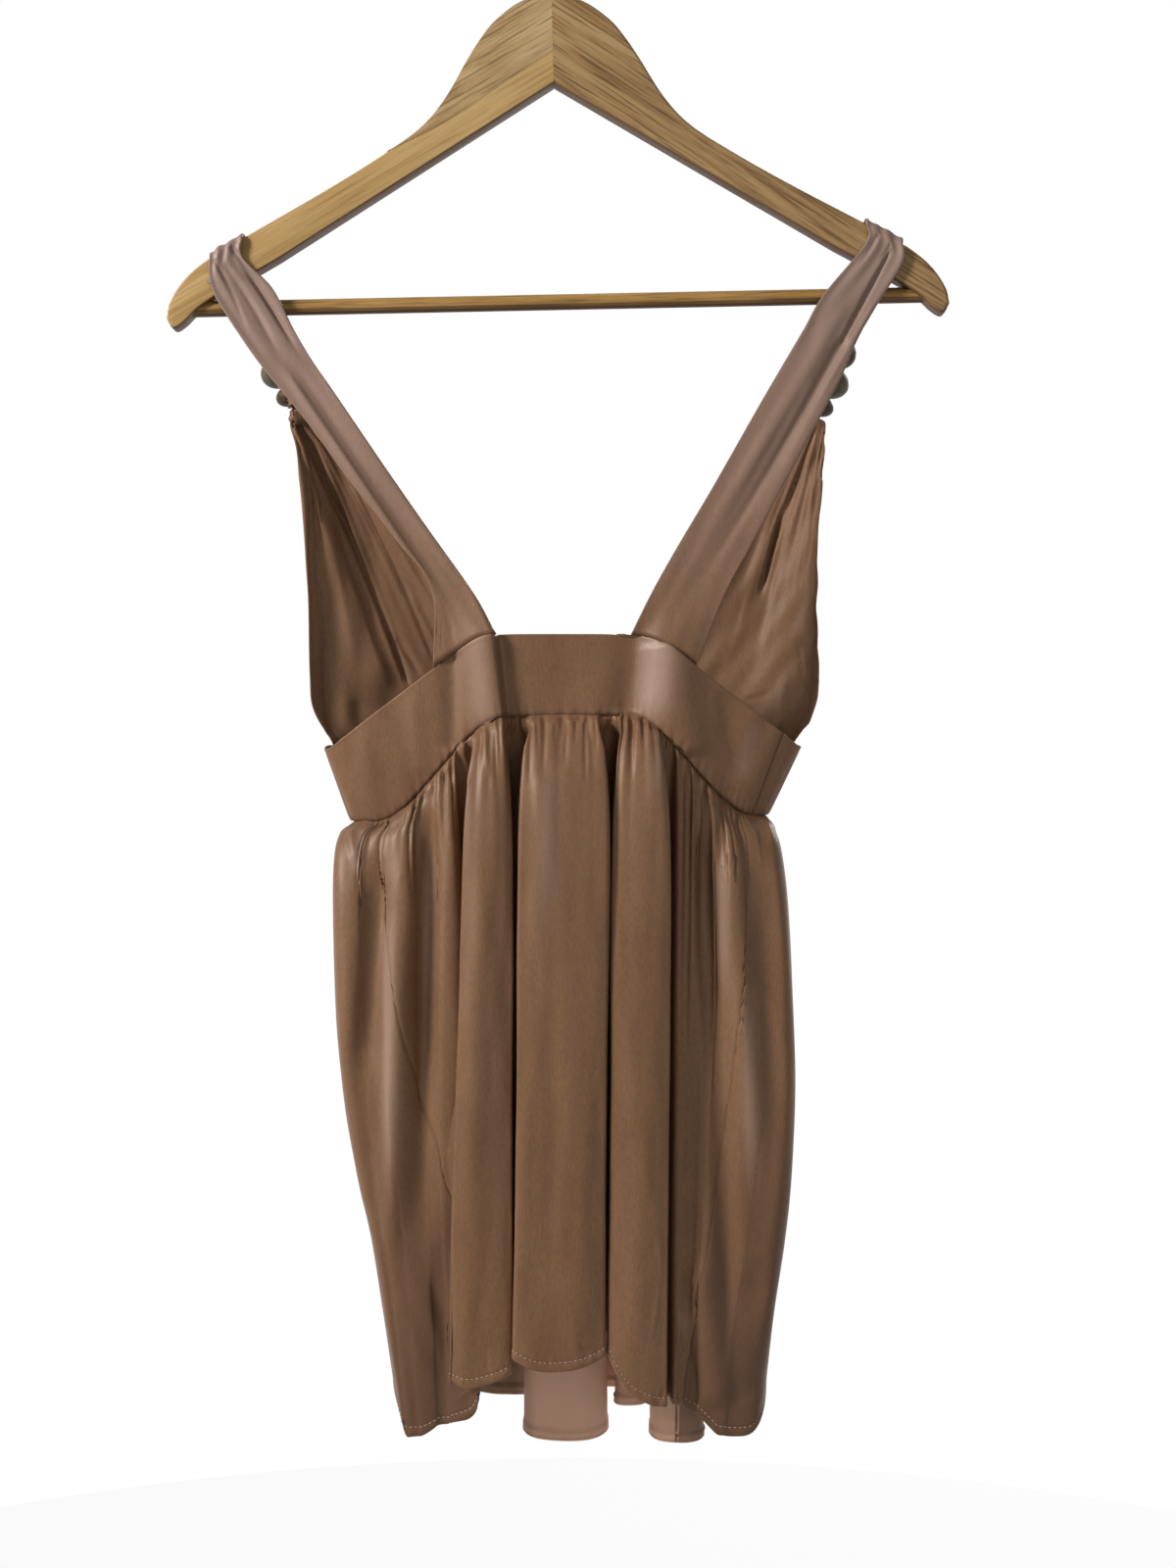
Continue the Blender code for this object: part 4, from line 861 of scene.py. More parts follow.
# Corners of one fold in plan: two, or four where its face is wide
def foldCorners(one, behind):
    corners = []
    forward = -1.0 if behind else 1.0
    top, hem = (one.leftTop, one.rightTop), (one.leftHem, one.rightHem)
    wide = top[1] - top[0] > skirt["wideFold"]
    flank = skirt["faceShare"]
    shares = (0.0, flank, 1.0 - flank, 1.0) if wide else (0.0, 1.0)
    heights = ((one.hemLeft, one.hemIn, one.hemOut, one.hemRight) if wide
               else (one.hemLeft, one.hemRight))
    crisp = one.name in skirt["crispFolds"]
    curve = skirt["crispRound"] if crisp else skirt["softRound"]
    for share, height in zip(shares, heights):
        outward, root = {0.0: (-1.0, one.rootLeft), 1.0: (1.0, one.rootRight)}.get(share, (0, 0))
        atEdge = share in (0.0, 1.0)
        depth = one.face + forward * (-skirt["edgeBack"] if atEdge else skirt["crown"]) * wide
        places = []
        for (low, high), turned in ((top, 0.0), (hem, skirt["turned"].get(one.name, 0.0))):
            run = (high - low) * (flank if wide else 1.0)
            lean = outward * (curve if atEdge else 0.5) * run * root / (run + root)
            places.append((low + (high - low) * share + lean, depth - forward * turned * share))
        narrower = skirt["crispIn"] if crisp else skirt["softIn"]
        gathered = top[0] + (top[1] - top[0]) * (narrower + (1 - 2 * narrower) * share)
        angle = float(bandAngle(gathered, 1.0, behind))
        corners.append(corner(one.name, angle, places[0], places[1], height,
                              curve if atEdge else skirt["softRound"], outward * crisp))
    return corners


# The two corners in the gap between a fold and the following one
def valleyCorners(one, following, behind):
    room = following.leftTop - one.rightTop
    hemRoom = following.leftHem - one.rightHem
    faded = float(ease(abs(one.gapHem), abs(one.gap), abs(one.face)))
    corners = []
    for share, edges, inward, turn, beside in (
            (0.3, (one.rightTop, one.rightHem), -one.rootRight, 1.0, one),
            (0.7, (following.leftTop, following.leftHem), following.rootLeft, -1.0, following)):
        wider = -turn * skirt["gapWider"] * (beside.name in skirt["crispFolds"])
        angle = float(bandAngle(one.rightTop + room * share + wider, 1.0, behind))
        hem = edges[1] + inward + turn * 0.3 * hemRoom * faded
        corners.append(corner(one.name + "_gap", angle, (edges[0] + inward, one.gap),
                              (hem, one.gapHem), one.hemGap, skirt["softRound"], 0.0))
    return corners


def foldChain(folds, behind):
    corners = []
    for i, one in enumerate(folds):
        corners += foldCorners(one, behind)
        if i + 1 < len(folds):
            corners += valleyCorners(one, folds[i + 1], behind)
    return corners


def sideCorners(name, middle, atBand, atHem, turning):
    depth, half = turning * skirt["sideDepth"], skirt["sideAngle"]
    return [corner(name, middle + turn * half, (atBand, -turn * depth), (atHem, -turn * depth),
                   skirt["sideHem"], 0.5, 0.0) for turn in (-1, 1)]


# All corners of the skirt in plan, counter to the clock from its left side
def skirtRing():
    (_, topLeft, topRight), (_, footLeft, footRight) = skirt["sides"][0], skirt["sides"][-1]
    back = [fold(*row) for row in skirt["backFolds"]]
    back[0] = back[0]._replace(leftTop=topLeft + 2, leftHem=footLeft + 6)
    back[-1] = back[-1]._replace(rightTop=topRight - 2, rightHem=footRight - 6)
    front = [fold(*row) for row in skirt["frontFolds"]]
    return (sideCorners("left", -math.pi, topLeft, footLeft, 1.0) + foldChain(back, True)
            + sideCorners("right", 0.0, topRight, footRight, -1.0)
            + foldChain(front, False)[::-1])


ring = skirtRing()
firstOf = {}
for place, one in enumerate(ring):
    firstOf.setdefault(one.name, place)
ringAngles = np.array([c.angle for c in ring])
ringHems = np.array([float(c.hemHeight) for c in ring])
ringRounds = np.array([c.round for c in ring])
ringOutward = np.array([float(c.outward) for c in ring])
closingCurve = smoothCurve(skirt["closing"], 8)
sideCurve = smoothCurve(skirt["sides"], 12)


# How much further out the sides hang than a straight line from band to hem
def sideBulge(level, across):
    moved = 0.0
    for column, sign in ((1, -1.0), (2, 1.0)):
        sizes = sideCurve[:, column]
        straight = sizes[0] * (1 - level) + sizes[-1] * level
        reach = ease(sign * (across - skirt["middle"]), 60.0, 112.0)
        moved = moved + (np.interp(level, sideCurve[:, 0], sizes) - straight) * reach
    return moved


# The ring at one level. The gap after one narrow fold closes on the way down, and then
# the fold's edge slides under the broad fold beside it.
def cornerPlaces(level):
    shares = np.array((level, ease(level, 0.0, skirt["valleysFaded"])))
    places = np.array([np.multiply(c.band, 1 - shares) + np.multiply(c.hem, shares)
                       for c in ring])
    places[:, 0] += sideBulge(level, places[:, 0])
    places[:, 0] += ringOutward * np.interp(level, closingCurve[:, 0], closingCurve[:, 1])
    edge = firstOf[skirt["tucked"]] + 1
    following = edge + 3
    closing = float(ease(level, skirt["tuckStart"], skirt["tuckFull"]))
    full = skirt["tuckFull"]
    under = max(0.0, (level - full) / (1.0 - full)) * skirt["tuckWidth"]
    tuckedEdge = places[following, 0] - skirt["tuckOpen"] + under
    layer = (places[edge, 1] + places[following, 1]) / 2
    targets = {edge: (tuckedEdge, places[edge, 1]), edge + 1: (tuckedEdge, layer + 1.5),
               edge + 2: (places[following, 0], layer - 0.5)}
    for place, target in targets.items():
        places[place] = places[place] * (1 - closing) + np.array(target) * closing
    return places


# Rounds off the corners of the plan: each by its own share of its two sides
def roundOff(values, places, lap=0.0):
    nearest = np.floor(places + 0.5).astype(int)
    t = places - nearest

    def valueAt(step):
        turns, index = np.divmod(nearest + step, len(ring))
        found = values[index]
        return found + (lap * turns if found.ndim == 1 else 0.0)

    turn = ringRounds[np.mod(nearest, len(ring))]
    before, here, after = valueAt(-1), valueAt(0), valueAt(1)
    s = np.clip((t + turn) / (2 * turn), 0.0, 1.0)
    if values.ndim > 1:
        t, s, turn = t[:, None], s[:, None], turn[:, None]
    curved = ((1 - s) ** 2 * (here + turn * (before - here)) + 2 * s * (1 - s) * here
              + s ** 2 * (here + turn * (after - here)))
    straight = here + np.abs(t) * (np.where(t < 0, before, after) - here)
    return np.where(np.abs(t) < turn, curved, straight)


# Points of the cloth round the skirt at one level: the band's oval opening into folds
def skirtRow(places, level):
    atBand = bandPoint(roundOff(ringAngles, places, 2 * math.pi), 1.0)
    folded = roundOff(cornerPlaces(level), places)
    sideways, atSides, outwards = skirt["opensBy"]
    side = ease(np.abs(folded[:, 0] - skirt["middle"]), 92.0, 112.0)
    inward = ease(np.abs(atBand[:, 1]) - np.abs(folded[:, 1]), 2.0, 14.0)
    reach = outwards + skirt["hollowsBy"] * inward * (1 - side)
    opened = np.column_stack([ease(level, 0.0, sideways + (atSides - sideways) * side),
                              1 - np.exp(-level / reach)])
    plan = atBand[:, :2] * (1 - opened) + folded * opened
    height = atBand[:, 2] * (1 - level) + roundOff(ringHems, places) * level
    return np.column_stack([plan, height])


# How far a seam has slanted from its hollow at each level, to keep to its path
def seamDrift(valley, path):
    start = here = firstOf[valley] + 0.5
    path = smoothCurve(path, 6)[::-1]
    found = []
    for level in driftLevels:
        places = np.linspace(here - 1.0, here + 1.0, 101)
        row = skirtRow(places, level)
        wanted = np.interp(row[:, 2], path[:, 0], path[:, 1])
        here = places[np.argmin(np.abs(row[:, 0] - wanted) + 1.5 * np.abs(places - here))]
        found.append(here - start)
    found = np.where(driftLevels < skirt["driftFrom"],
                     np.interp(skirt["driftFrom"], driftLevels, found), found)
    for _ in range(2):
        found = np.convolve(np.pad(found, 4, mode="edge"), np.ones(9) / 9, mode="valid")
    return found


# Where the gathers sit round the band, and the size of each
def gatherPlan(seed):
    rng = np.random.default_rng(seed)
    rows, place = [], -1.5 * math.pi
    while place < 2.5 * math.pi:
        place += rng.uniform(*skirt["gatherEvery"])
        rows.append((place, rng.uniform(*skirt["gatherDepth"]),
                     rng.uniform(*skirt["gatherWidth"]), rng.uniform(*skirt["gatherLength"])))
    return rows


# Small slanted wrinkles, most of them low on the skirt
def scatterWrinkles(seed):
    rng = np.random.default_rng(seed)
    some = skirt["wrinkles"]
    rows = []
    for _ in range(some["count"]):
        x = rng.uniform(*some["across"])
        z = some["lowest"] + some["rise"] * rng.beta(1.2, 2.0)
        slant = rng.normal(0.75, 0.45) * rng.choice((-1, 1), p=(0.7, 0.3))
        length = rng.uniform(*some["length"])
        rows.append((x, z, x + length * math.sin(slant), z - length * math.cos(slant),
                     rng.uniform(-1.5, 1.5), rng.uniform(*some["width"]),
                     rng.uniform(*some["width"]),
                     rng.uniform(*some["lift"]) * rng.choice((-1, 1)), 0.4, 0.4))
    return tuple(rows)


driftLevels = np.linspace(0.0, 1.0, 100)
seamDrifts = (seamDrift("sideLeft_gap", skirt["seamLeft"]),
              seamDrift("narrow5_gap", skirt["seamRight"]),
              np.zeros(len(driftLevels)), np.zeros(len(driftLevels)))
gathers = gatherPlan(4)
smallWrinkles = scatterWrinkles(9)


# Levels of the rows: close together at the gathers and at the hem, more where finer
def skirtLevels(fine):
    return np.concatenate([
        [0.0, 0.0015, 0.003, 0.0042, 0.0055, 0.007], np.linspace(0.009, 0.12, round(23 * fine)),
        np.linspace(0.12, 0.955, round(46 * fine))[1:],
        np.linspace(0.955, 0.9975, round(13 * fine))[1:], [0.9988, 1.0]])


# Places of a panel's columns round the ring: even along the cloth, a little closer at
# its two seams, and some past each seam, cut off in the end, so that the panels meet
def panelColumns(start, end, columns):
    dense = np.linspace(start, end, 1500)
    runs = runAlong(0.5 * (skirtRow(dense, 0.10) + skirtRow(dense, 0.6))[None], 1)[0]
    runs += np.linspace(0, 60.0, len(runs))
    even = edgedShares(runs[-1], runs[-1] / columns)
    base = np.interp(even * runs[-1], runs, dense)
    past = (base[7] - base[6]) * np.arange(1, skirt["pastSeam"] + 1)
    return np.concatenate([start - past[::-1], base, end + past])


# Gathers below the band, and the top edge that lies in under the band
def gathersLift(angles, fall):
    lift = np.zeros(fall.shape)
    for place, depth, width, length in gathers:
        if angles.min() - 0.1 < place < angles.max() + 0.1:
            calm = 1 - 0.6 * ease(abs(math.cos(place)), 0.78, 0.93)     # shorter at the sides
            lift -= (calm * depth * bump((angles - place) * band["around"], width / calm)
                     * np.exp(-fall / (length * calm ** 2.5) * 1.6))
    tiny = angles * band["around"] * 2 * math.pi / skirt["tinyGathers"]
    lift += 0.3 * np.sin(tiny) * bump(fall - 3.0, 2.5)
    lift += 0.8 * bump(fall - 5.0, 3.2)
    lift *= ease(fall, 0.8, 3.0)
    return lift - skirt["tuckedIn"] * (1 - ease(fall, 0.9, 2.5))


# Turned hem with the dents of its row of stitches
def hemLift(fromHem, around, height):
    atStitch = fromHem - skirt["hemWidth"]
    lift = 0.3 * (1 - ease(atStitch, -0.4, 0.5)) - 0.5 * bump(atStitch, 0.5)
    lift += 0.16 * bump(atStitch, 3.0) * hangWaves(around, height, 14, (4.0, 8.0), (30, 60), 4)
    return lift - 0.5 * bump(fromHem, 0.6)


# Rounds the hollows at the sides by evening the columns there
def softened(grid, fall, spacing):
    soft = ease(fall, 40.0, 80.0) * ease(np.abs(grid[..., 0] - 4.0), 62.0, 72.0)
    soft = soft[:, 1:-1, None]
    for _ in range(round(2 * (skirt["softness"] / spacing) ** 2)):
        evened = 0.5 * grid[:, 1:-1] + 0.25 * (grid[:, :-2] + grid[:, 2:])
        grid[:, 1:-1] += soft * (evened - grid[:, 1:-1])
    return grid


# One panel of the skirt from seam to seam, with the grid of its shown side and the
# distance of each of its points from the hem
def skirtPanel(name, seamStart, seamEnd, finish, columns, fine):
    levels = skirtLevels(fine)
    starts = [firstOf[v] + 0.5 for v in skirt["seamValleys"]]
    start, end = starts[seamStart], starts[seamEnd]
    if start > end:
        start -= len(ring)
    drifts = [np.interp(levels, driftLevels, drift) for drift in seamDrifts]
    reach = min(skirt["driftReach"], end - start)
    base, extra = panelColumns(start, end, columns), skirt["pastSeam"]
    fromStart = np.clip(1 - (base - start) / reach, 0, 1)
    fromEnd = np.clip(1 - (end - base) / reach, 0, 1)
    grid, angles = [], []
    for i, level in enumerate(levels):
        places = base + drifts[seamStart][i] * fromStart + drifts[seamEnd][i] * fromEnd
        grid.append(skirtRow(places, level))
        angles.append(roundOff(ringAngles, places, 2 * math.pi))
    grid, angles = np.array(grid), np.array(angles)
    fall = runAlong(grid, 0)
    fromHem = fall[-1:] - fall
    across = runAlong(grid, 1)
    seams = across[:, extra:extra + 1], across[:, -extra - 1:-extra]
    fromSeam = np.minimum(np.abs(across - seams[0]), np.abs(across - seams[1]))
    outside = (across < seams[0]) | (across > seams[1])
    height = grid[..., 2]
    around = 0.9 * grid[..., 0] + 0.7 * grid[..., 1]

    lift = gathersLift(angles, fall)
    hang = ease(fall, 5.0, 60.0)
    lift += skirt["waves"] * hang * hangWaves(around, height, 11, (24, 60), (220, 700))
    lift += skirt["ripple"] * hang * hangWaves(around, height, 12, (9, 17), (60, 160))
    # the seams pull small puckers out of the cloth beside them
    sewn = bump(fromSeam, 0.7)
    puckered = np.exp(-fromSeam / 4.5) * (1 - sewn) * ease(fall, 15.0, 90.0)
    lift += 0.28 * puckered * hangWaves(fall, around, 13, (6.5, 10.0), (40, 90), 4)
    lift -= 0.05 * (1 + np.cos(2 * math.pi * fall / 3.0)) * bump(fromSeam - 0.9, 0.7)
    lift += hemLift(fromHem, around, height)
    normals = squareTo(grid)
    normals[..., 2] *= ease(fall, 2.0, 16.0)
    normals /= np.linalg.norm(normals, axis=-1, keepdims=True)
    grid = grid + normals * lift[..., None]
    grid[..., 2] += 2.4 * (1 - ease(fall, 0.0, 2.6))
    grid = press(grid, skirt["creases"] + smallWrinkles)
    grid = press(grid, skirt["creasesFront"] + smallWrinkles, 1.0)
    grid = softened(grid, fall, across[len(across) // 2, -1] / across.shape[1])
    # the seams dip, and what lies past them goes under the panel beside
    under = 0.3 * sewn + fromSeam.clip(0, 1) * outside
    grid = grid - squareTo(grid) * under[..., None]
    atStitch = fromHem - skirt["hemWidth"]
    turned = 1 - ease(atStitch, -0.3, 0.9)
    thick = skirt["thickness"] + (skirt["hemThickness"] - skirt["thickness"]) * turned
    thick = thick * np.clip(0.25 + fromHem / 0.6, 0.25, 1.0)
    # painted highlights on the side shown behind
    paintedHighlight = creaseLift(grid, skirt["paintedHighlights"]).clip(0, 1) * (grid[..., 1] < 0)
    sewnMark = np.clip(0.6 * bump(fromSeam, 0.4) + 0.9 * bump(fall, 0.8)
                       + 0.5 * bump(atStitch, 0.5), 0, 1)
    beyond = skirt["allowance"] if name.startswith("skirt_back") else 0
    kept = slice(extra - beyond, beyond - extra)
    grid, thick, sewnMark, paintedHighlight, fromHem = (
        v[:, kept] for v in (grid, thick, sewnMark, paintedHighlight, fromHem))
    piece = clothShell(name, grid, thick, finish, {"sewn": sewnMark, "paintedHighlight": paintedHighlight})
    return piece, grid, fromHem


# Points and directions where a measure crosses a value down each column of a grid
def lineOn(grid, measure, value):
    normals = squareTo(grid)
    low = np.clip((measure >= value).sum(axis=0) - 1, 0, len(grid) - 2)
    column = np.arange(grid.shape[1])
    here, after = measure[low, column], measure[low + 1, column]
    share = np.clip((here - value) / np.where(here == after, 1, here - after), 0, 1)[:, None]
    points = grid[low, column] * (1 - share) + grid[low + 1, column] * share
    return points, normals[low, column]


stitch = {
    "length": 2.0, "gap": 0.8, "radius": 0.27, "proud": 0.22, "sides": 6,
    # share of the length, and of the radius there
    "profile": ((0.0, 0.15), (0.12, 0.75), (0.5, 1.0), (0.88, 0.75), (1.0, 0.15)),
}


# A row of stitches: short rounded lengths of thread along a line, in one mesh
def stitchRow(name, line, normals):
    points, faces = [], []
    length, gap, sides, profile = (stitch[k] for k in ("length", "gap", "sides", "profile"))
    run = runAlong(line[None], 1)[0]

    def at(place, values):
        return np.array([np.interp(place, run, values[:, k]) for k in range(3)])

    for start in np.arange(gap, run[-1] - length - gap, length + gap):
        spine = [at(start + length * share, line) for share, _ in profile]
        normal = at(start + length / 2, normals)
        normal /= np.linalg.norm(normal)
        along = spine[-1] - spine[0]
        along /= np.linalg.norm(along)
        side = np.cross(normal, along)
        first = len(points)
        for (share, wide), centre in zip(profile, spine):
            arch, radius = stitch["proud"] * math.sin(math.pi * share), stitch["radius"] * wide
            for turn in np.arange(sides) * 2 * math.pi / sides:
                points.append(centre + normal * (arch + radius * math.sin(turn))
                              + side * radius * math.cos(turn))
        for ringStart in range(first, first + (len(profile) - 1) * sides, sides):
            for i in range(sides):
                j = (i + 1) % sides
                faces.append((ringStart + i, ringStart + j, ringStart + sides + j,
                              ringStart + sides + i))
        faces.append(tuple(range(first + sides - 1, first - 1, -1)))
        last = first + (len(profile) - 1) * sides
        faces.append(tuple(range(last, last + sides)))
    return addMesh(name, points, faces, finishes["thread"])


panels = (
    # node, seams at its two ends, finish, columns, fineness, flat width and length
    ("skirt_side_left", 3, 0, "satinSide", 320, 1.25, (0.205, 0.355)),
    ("skirt_back", 0, 1, "satin", 455, 1.2, (0.430, 0.375)),
    ("skirt_side_right", 1, 2, "satinSide", 320, 1.25, (0.215, 0.355)),
    ("skirt_front", 2, 3, "satinFar", 380, 0.85, (0.370, 0.350)),
)
for node, seamStart, seamEnd, finish, columns, fine, flat in panels:
    piece, grid, fromHem = skirtPanel(node + "_cloth", seamStart, seamEnd, finishes[finish],
                                      columns, fine)
    stitches = stitchRow(node + "_hem_stitches", *lineOn(grid, fromHem, skirt["hemWidth"]))
    for part in (piece, stitches):
        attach(part, "root")
    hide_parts(node)
    print(node, "triangles", 2 * len(piece.data.polygons))


# Half of the band, from seam to seam
def bandPanel(name, start, end, finish, columns):
    angles = np.linspace(start + 0.0004, end - 0.0004, 900)
    runs = runAlong(bandPoint(angles, 0.5)[None], 1)[0]
    angles = np.interp(edgedShares(runs[-1], runs[-1] / columns) * runs[-1], runs, angles)
    levels = edgedShares(44.0, 1.2)
    grid = np.array([bandPoint(angles, level) for level in levels])
    fall = runAlong(grid, 0)
    rise = fall[-1:] - fall
    across = runAlong(grid, 1)
    fromSeam = np.minimum(across, across[:, -1:] - across)
    thick = rolled(fall, band["thickness"])
    lift = (thick - band["thickness"]) / 2
    lift -= band["curl"] * bump(rise, 1.0)
    for place, depth, width, _ in gathers:
        pulled = bump((angles - place) * band["around"], width * 1.2)
        lift -= 0.35 * depth * pulled * np.exp(-rise / 4.0)
    lift += 0.22 * hangWaves(angles * band["around"], grid[..., 2], 21, (18, 40), (60, 160))
    lift -= 0.12 * bump(fall - 3.0, 0.6)
    lift -= 0.8 * bump(fromSeam, 0.8)
    grid = grid + squareTo(grid) * lift[..., None]
    grid = press(grid, band["creases"])
    grid = press(grid, band["creasesFront"], 1.0)
    mark = np.clip(bump(rise, 0.9) + bump(fromSeam, 0.5), 0, 1)
    # painted highlights on the band's side shown behind
    paintedHighlight = creaseLift(grid, band["paintedHighlights"]).clip(0, 1) * (grid[..., 1] < 0)
    return clothShell(name, grid, thick, finish, {"sewn": mark, "paintedHighlight": paintedHighlight})


for node, start, end, finish, columns, flat in (
        ("back_band", band["seamLeft"], band["seamRight"], "satin", 290, (0.335, 0.048)),
        ("front_band", band["seamRight"], band["seamLeft"] + 2 * math.pi, "satinInside", 200,
         (0.300, 0.044))):
    piece = bandPanel(node + "_cloth", start, end, finishes[finish], columns)
    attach(piece, "root")
    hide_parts(node)
print("band done")

# Three beads at the top of each cup
bead = namedtuple("bead", "name radius half colour")
beads = {
    "row": (bead("top", 9.5, 8.0, "brown"), bead("middle", 12.6, 9.0, "olive"),
            bead("bottom", 9.8, 5.6, "brown")),
    "bore": 3.6,
    "middle": {-1: (-153.5, 13.0, -271.5), 1: (159.0, 13.0, -277.3)},
    "lean": 0.40,
    "space": 0.3,
    "sides": 56, "profile": 26,
}


# Middles of the three beads on one side, and the direction they hang in
def beadRow(side):
    middle = np.array(beads["middle"][side])
    down = np.array((-side * beads["lean"], 0.0, -math.sqrt(1 - beads["lean"] ** 2)))
    top, large, bottom = beads["row"]
    up = top.half + large.half + beads["space"]
    below = bottom.half + large.half + beads["space"]
    return (middle - down * up, middle, middle + down * below), down


# A bead turned on the lathe with its bore through it, very slightly out of round
def makeBead(name, one, centre, down):
    widest = math.acos(beads["bore"] / one.radius)
    angles = np.linspace(-widest, widest, beads["profile"])
    tall = one.half / math.sin(widest)
    radii = one.radius * np.cos(angles) ** 0.92
    radii *= beads["bore"] / radii[0] if radii[0] < beads["bore"] else 1.0
    heights = tall * np.sin(angles)
    turns = np.arange(beads["sides"]) * 2 * math.pi / beads["sides"]
    uneven = 1 + 0.006 * np.sin(3 * turns + one.radius) + 0.004 * np.sin(5 * turns)
    points, faces = [], []
    count = len(angles)
    for turn, wobble in zip(turns, uneven):
        for radius, height in zip(radii, heights):
            grown = min(radius, one.radius) * (wobble if radius > beads["bore"] + 0.5 else 1.0)
            points.append((grown * math.cos(turn), grown * math.sin(turn), height))
    for step in range(beads["sides"]):
        following = (step + 1) % beads["sides"]
        for i in range(count):
            j = (i + 1) % count
            faces.append((step * count + i, following * count + i, following * count + j,
                          step * count + j))
    piece = addMesh(name, points, faces, finishes[one.colour])
    piece.data.set_sharp_from_angle(angle=math.radians(50))
    piece.rotation_euler = (0.0, math.atan2(-down[0], -down[2]), 0.0)
    piece.location = centre * mm
    return piece


for side, word in ((-1, "left"), (1, "right")):
    centres, down = beadRow(side)
    for one, centre in zip(beads["row"], centres):
        node = "bead_%s_%s" % (word, one.name)
        piece = makeBead(node + "_turned", one, centre, down)
        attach(piece, "root")
        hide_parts(node)
print("beads done")

# Straps, from the band over the arms and through the beads
straps = {
    "thickness": 1.4,
    "neckWidth": 2.8, "neckThick": 2.5,
    # share of the arm's thickness from behind, and rise above its top edge
    "overArm": ((-1.0, -12.0), (-1.0, -1.2), (-0.74, 1.4), (0.0, 2.3), (0.74, 1.4),
                (1.0, -1.2), (1.0, -13.0)),
    "clear": 0.3,
    "pleats": 3.0, "pleatDepth": 0.38,
    -1: {
        "node": "strap_left",
        # height left right
        "stations": ((-399.0, -65.5, -44.3), (-370.0, -85.3, -65.7), (-339.0, -110.2, -87.8),
                     (-307.0, -133.0, -109.9), (-274.0, -159.4, -132.4),
                     (-254.8, -173.1, -143.9), (-232.0, -187.5, -156.0)),
        "atBand": (-64.4, -29.5), "overHanger": (-191.5, -172.5),
        "flat": (0.030, 0.300),
        "creases": (
            (-150.5, -272, -52.5, -416.5, 0, 3.6, 1.8, 1.6, 0.12, 0.3),
            (-145, -270, -45, -418.5, 0, 2.2, 3.6, -0.8, 0.1, 0.3),
            (-134, -268.5, -36, -416.5, 0, 3.4, 3.4, 0.9, 0.12, 0.3),
            (-179.5, -205, -138, -272, 1.1, 1.3, 1.3, -1.2, 0.02, 0.5),
            (-171, -219, -141, -266, 0.5, 1.1, 1.1, -0.9, 0.1, 0.5),
            (-183, -215.5, -150, -272, 1.6, 1.5, 1.6, -0.9, 0.05, 0.5),
            (-188.5, -213, -170, -256, 1.6, 1.2, 1.2, -0.7, 0.02, 0.5),
            (-67.5, -414, -59.5, -426, 0, 1, 1, -0.7, 0.2, 0),
            (-59.5, -409.5, -53, -425, 0, 1, 1.2, -0.6, 0.3, 0)),
    },
    1: {
        "node": "strap_right",
        "stations": ((-402.0, 57.1, 97.9), (-377.0, 71.3, 111.1), (-344.0, 91.1, 128.3),
                     (-299.6, 116.6, 152.0), (-277.0, 129.9, 163.5), (-255.4, 142.8, 173.0),
                     (-236.0, 154.0, 184.0)),
        "atBand": (45.4, 81.6), "overHanger": (178.0, 199.0),
        "flat": (0.040, 0.300),
        "creases": (
            (192, -208, 164.5, -259, 0, 1.3, 1.4, -1.9, 0.02, 0),
            (164.5, -259, 78.5, -404.5, 1.6, 2.6, 3.4, -1.9, 0, 0.5),
            (192, -204.5, 187, -212, 0, 0.9, 0.9, -1, 0, 0.4),
            (185, -199, 175, -215.5, 0, 1.2, 1.2, -1.3, 0, 0.4),
            (168.5, -234, 73, -390.5, 2.2, 4.5, 4.0, 1.3, 0.1, 0.5),
            (185, -234, 149, -295.5, 0, 1.6, 1.6, 0.8, 0.2, 0.3),
            (178, -250, 100, -392, 0, 4.5, 3.5, 1.0, 0.2, 0.5)),
    },
}
armCurve = smoothCurve(hanger["top"], 4)


# Height of the tilted arm's top edge
def armTopHeight(across):
    side = np.sign(across)
    x = side * armCurve[:, 0] * math.cos(tilt) - armCurve[:, 1] * math.sin(tilt)
    z = side * armCurve[:, 0] * math.sin(tilt) + armCurve[:, 1] * math.cos(tilt)
    order = np.argsort(x)
    return float(np.interp(across, x[order], z[order]))


# Half the thickness of the cloth where it is drawn together in the beads
def neckHalf(level):
    return 0.35 + straps["neckThick"] * np.sqrt(np.maximum(0.0, 1 - level ** 2))


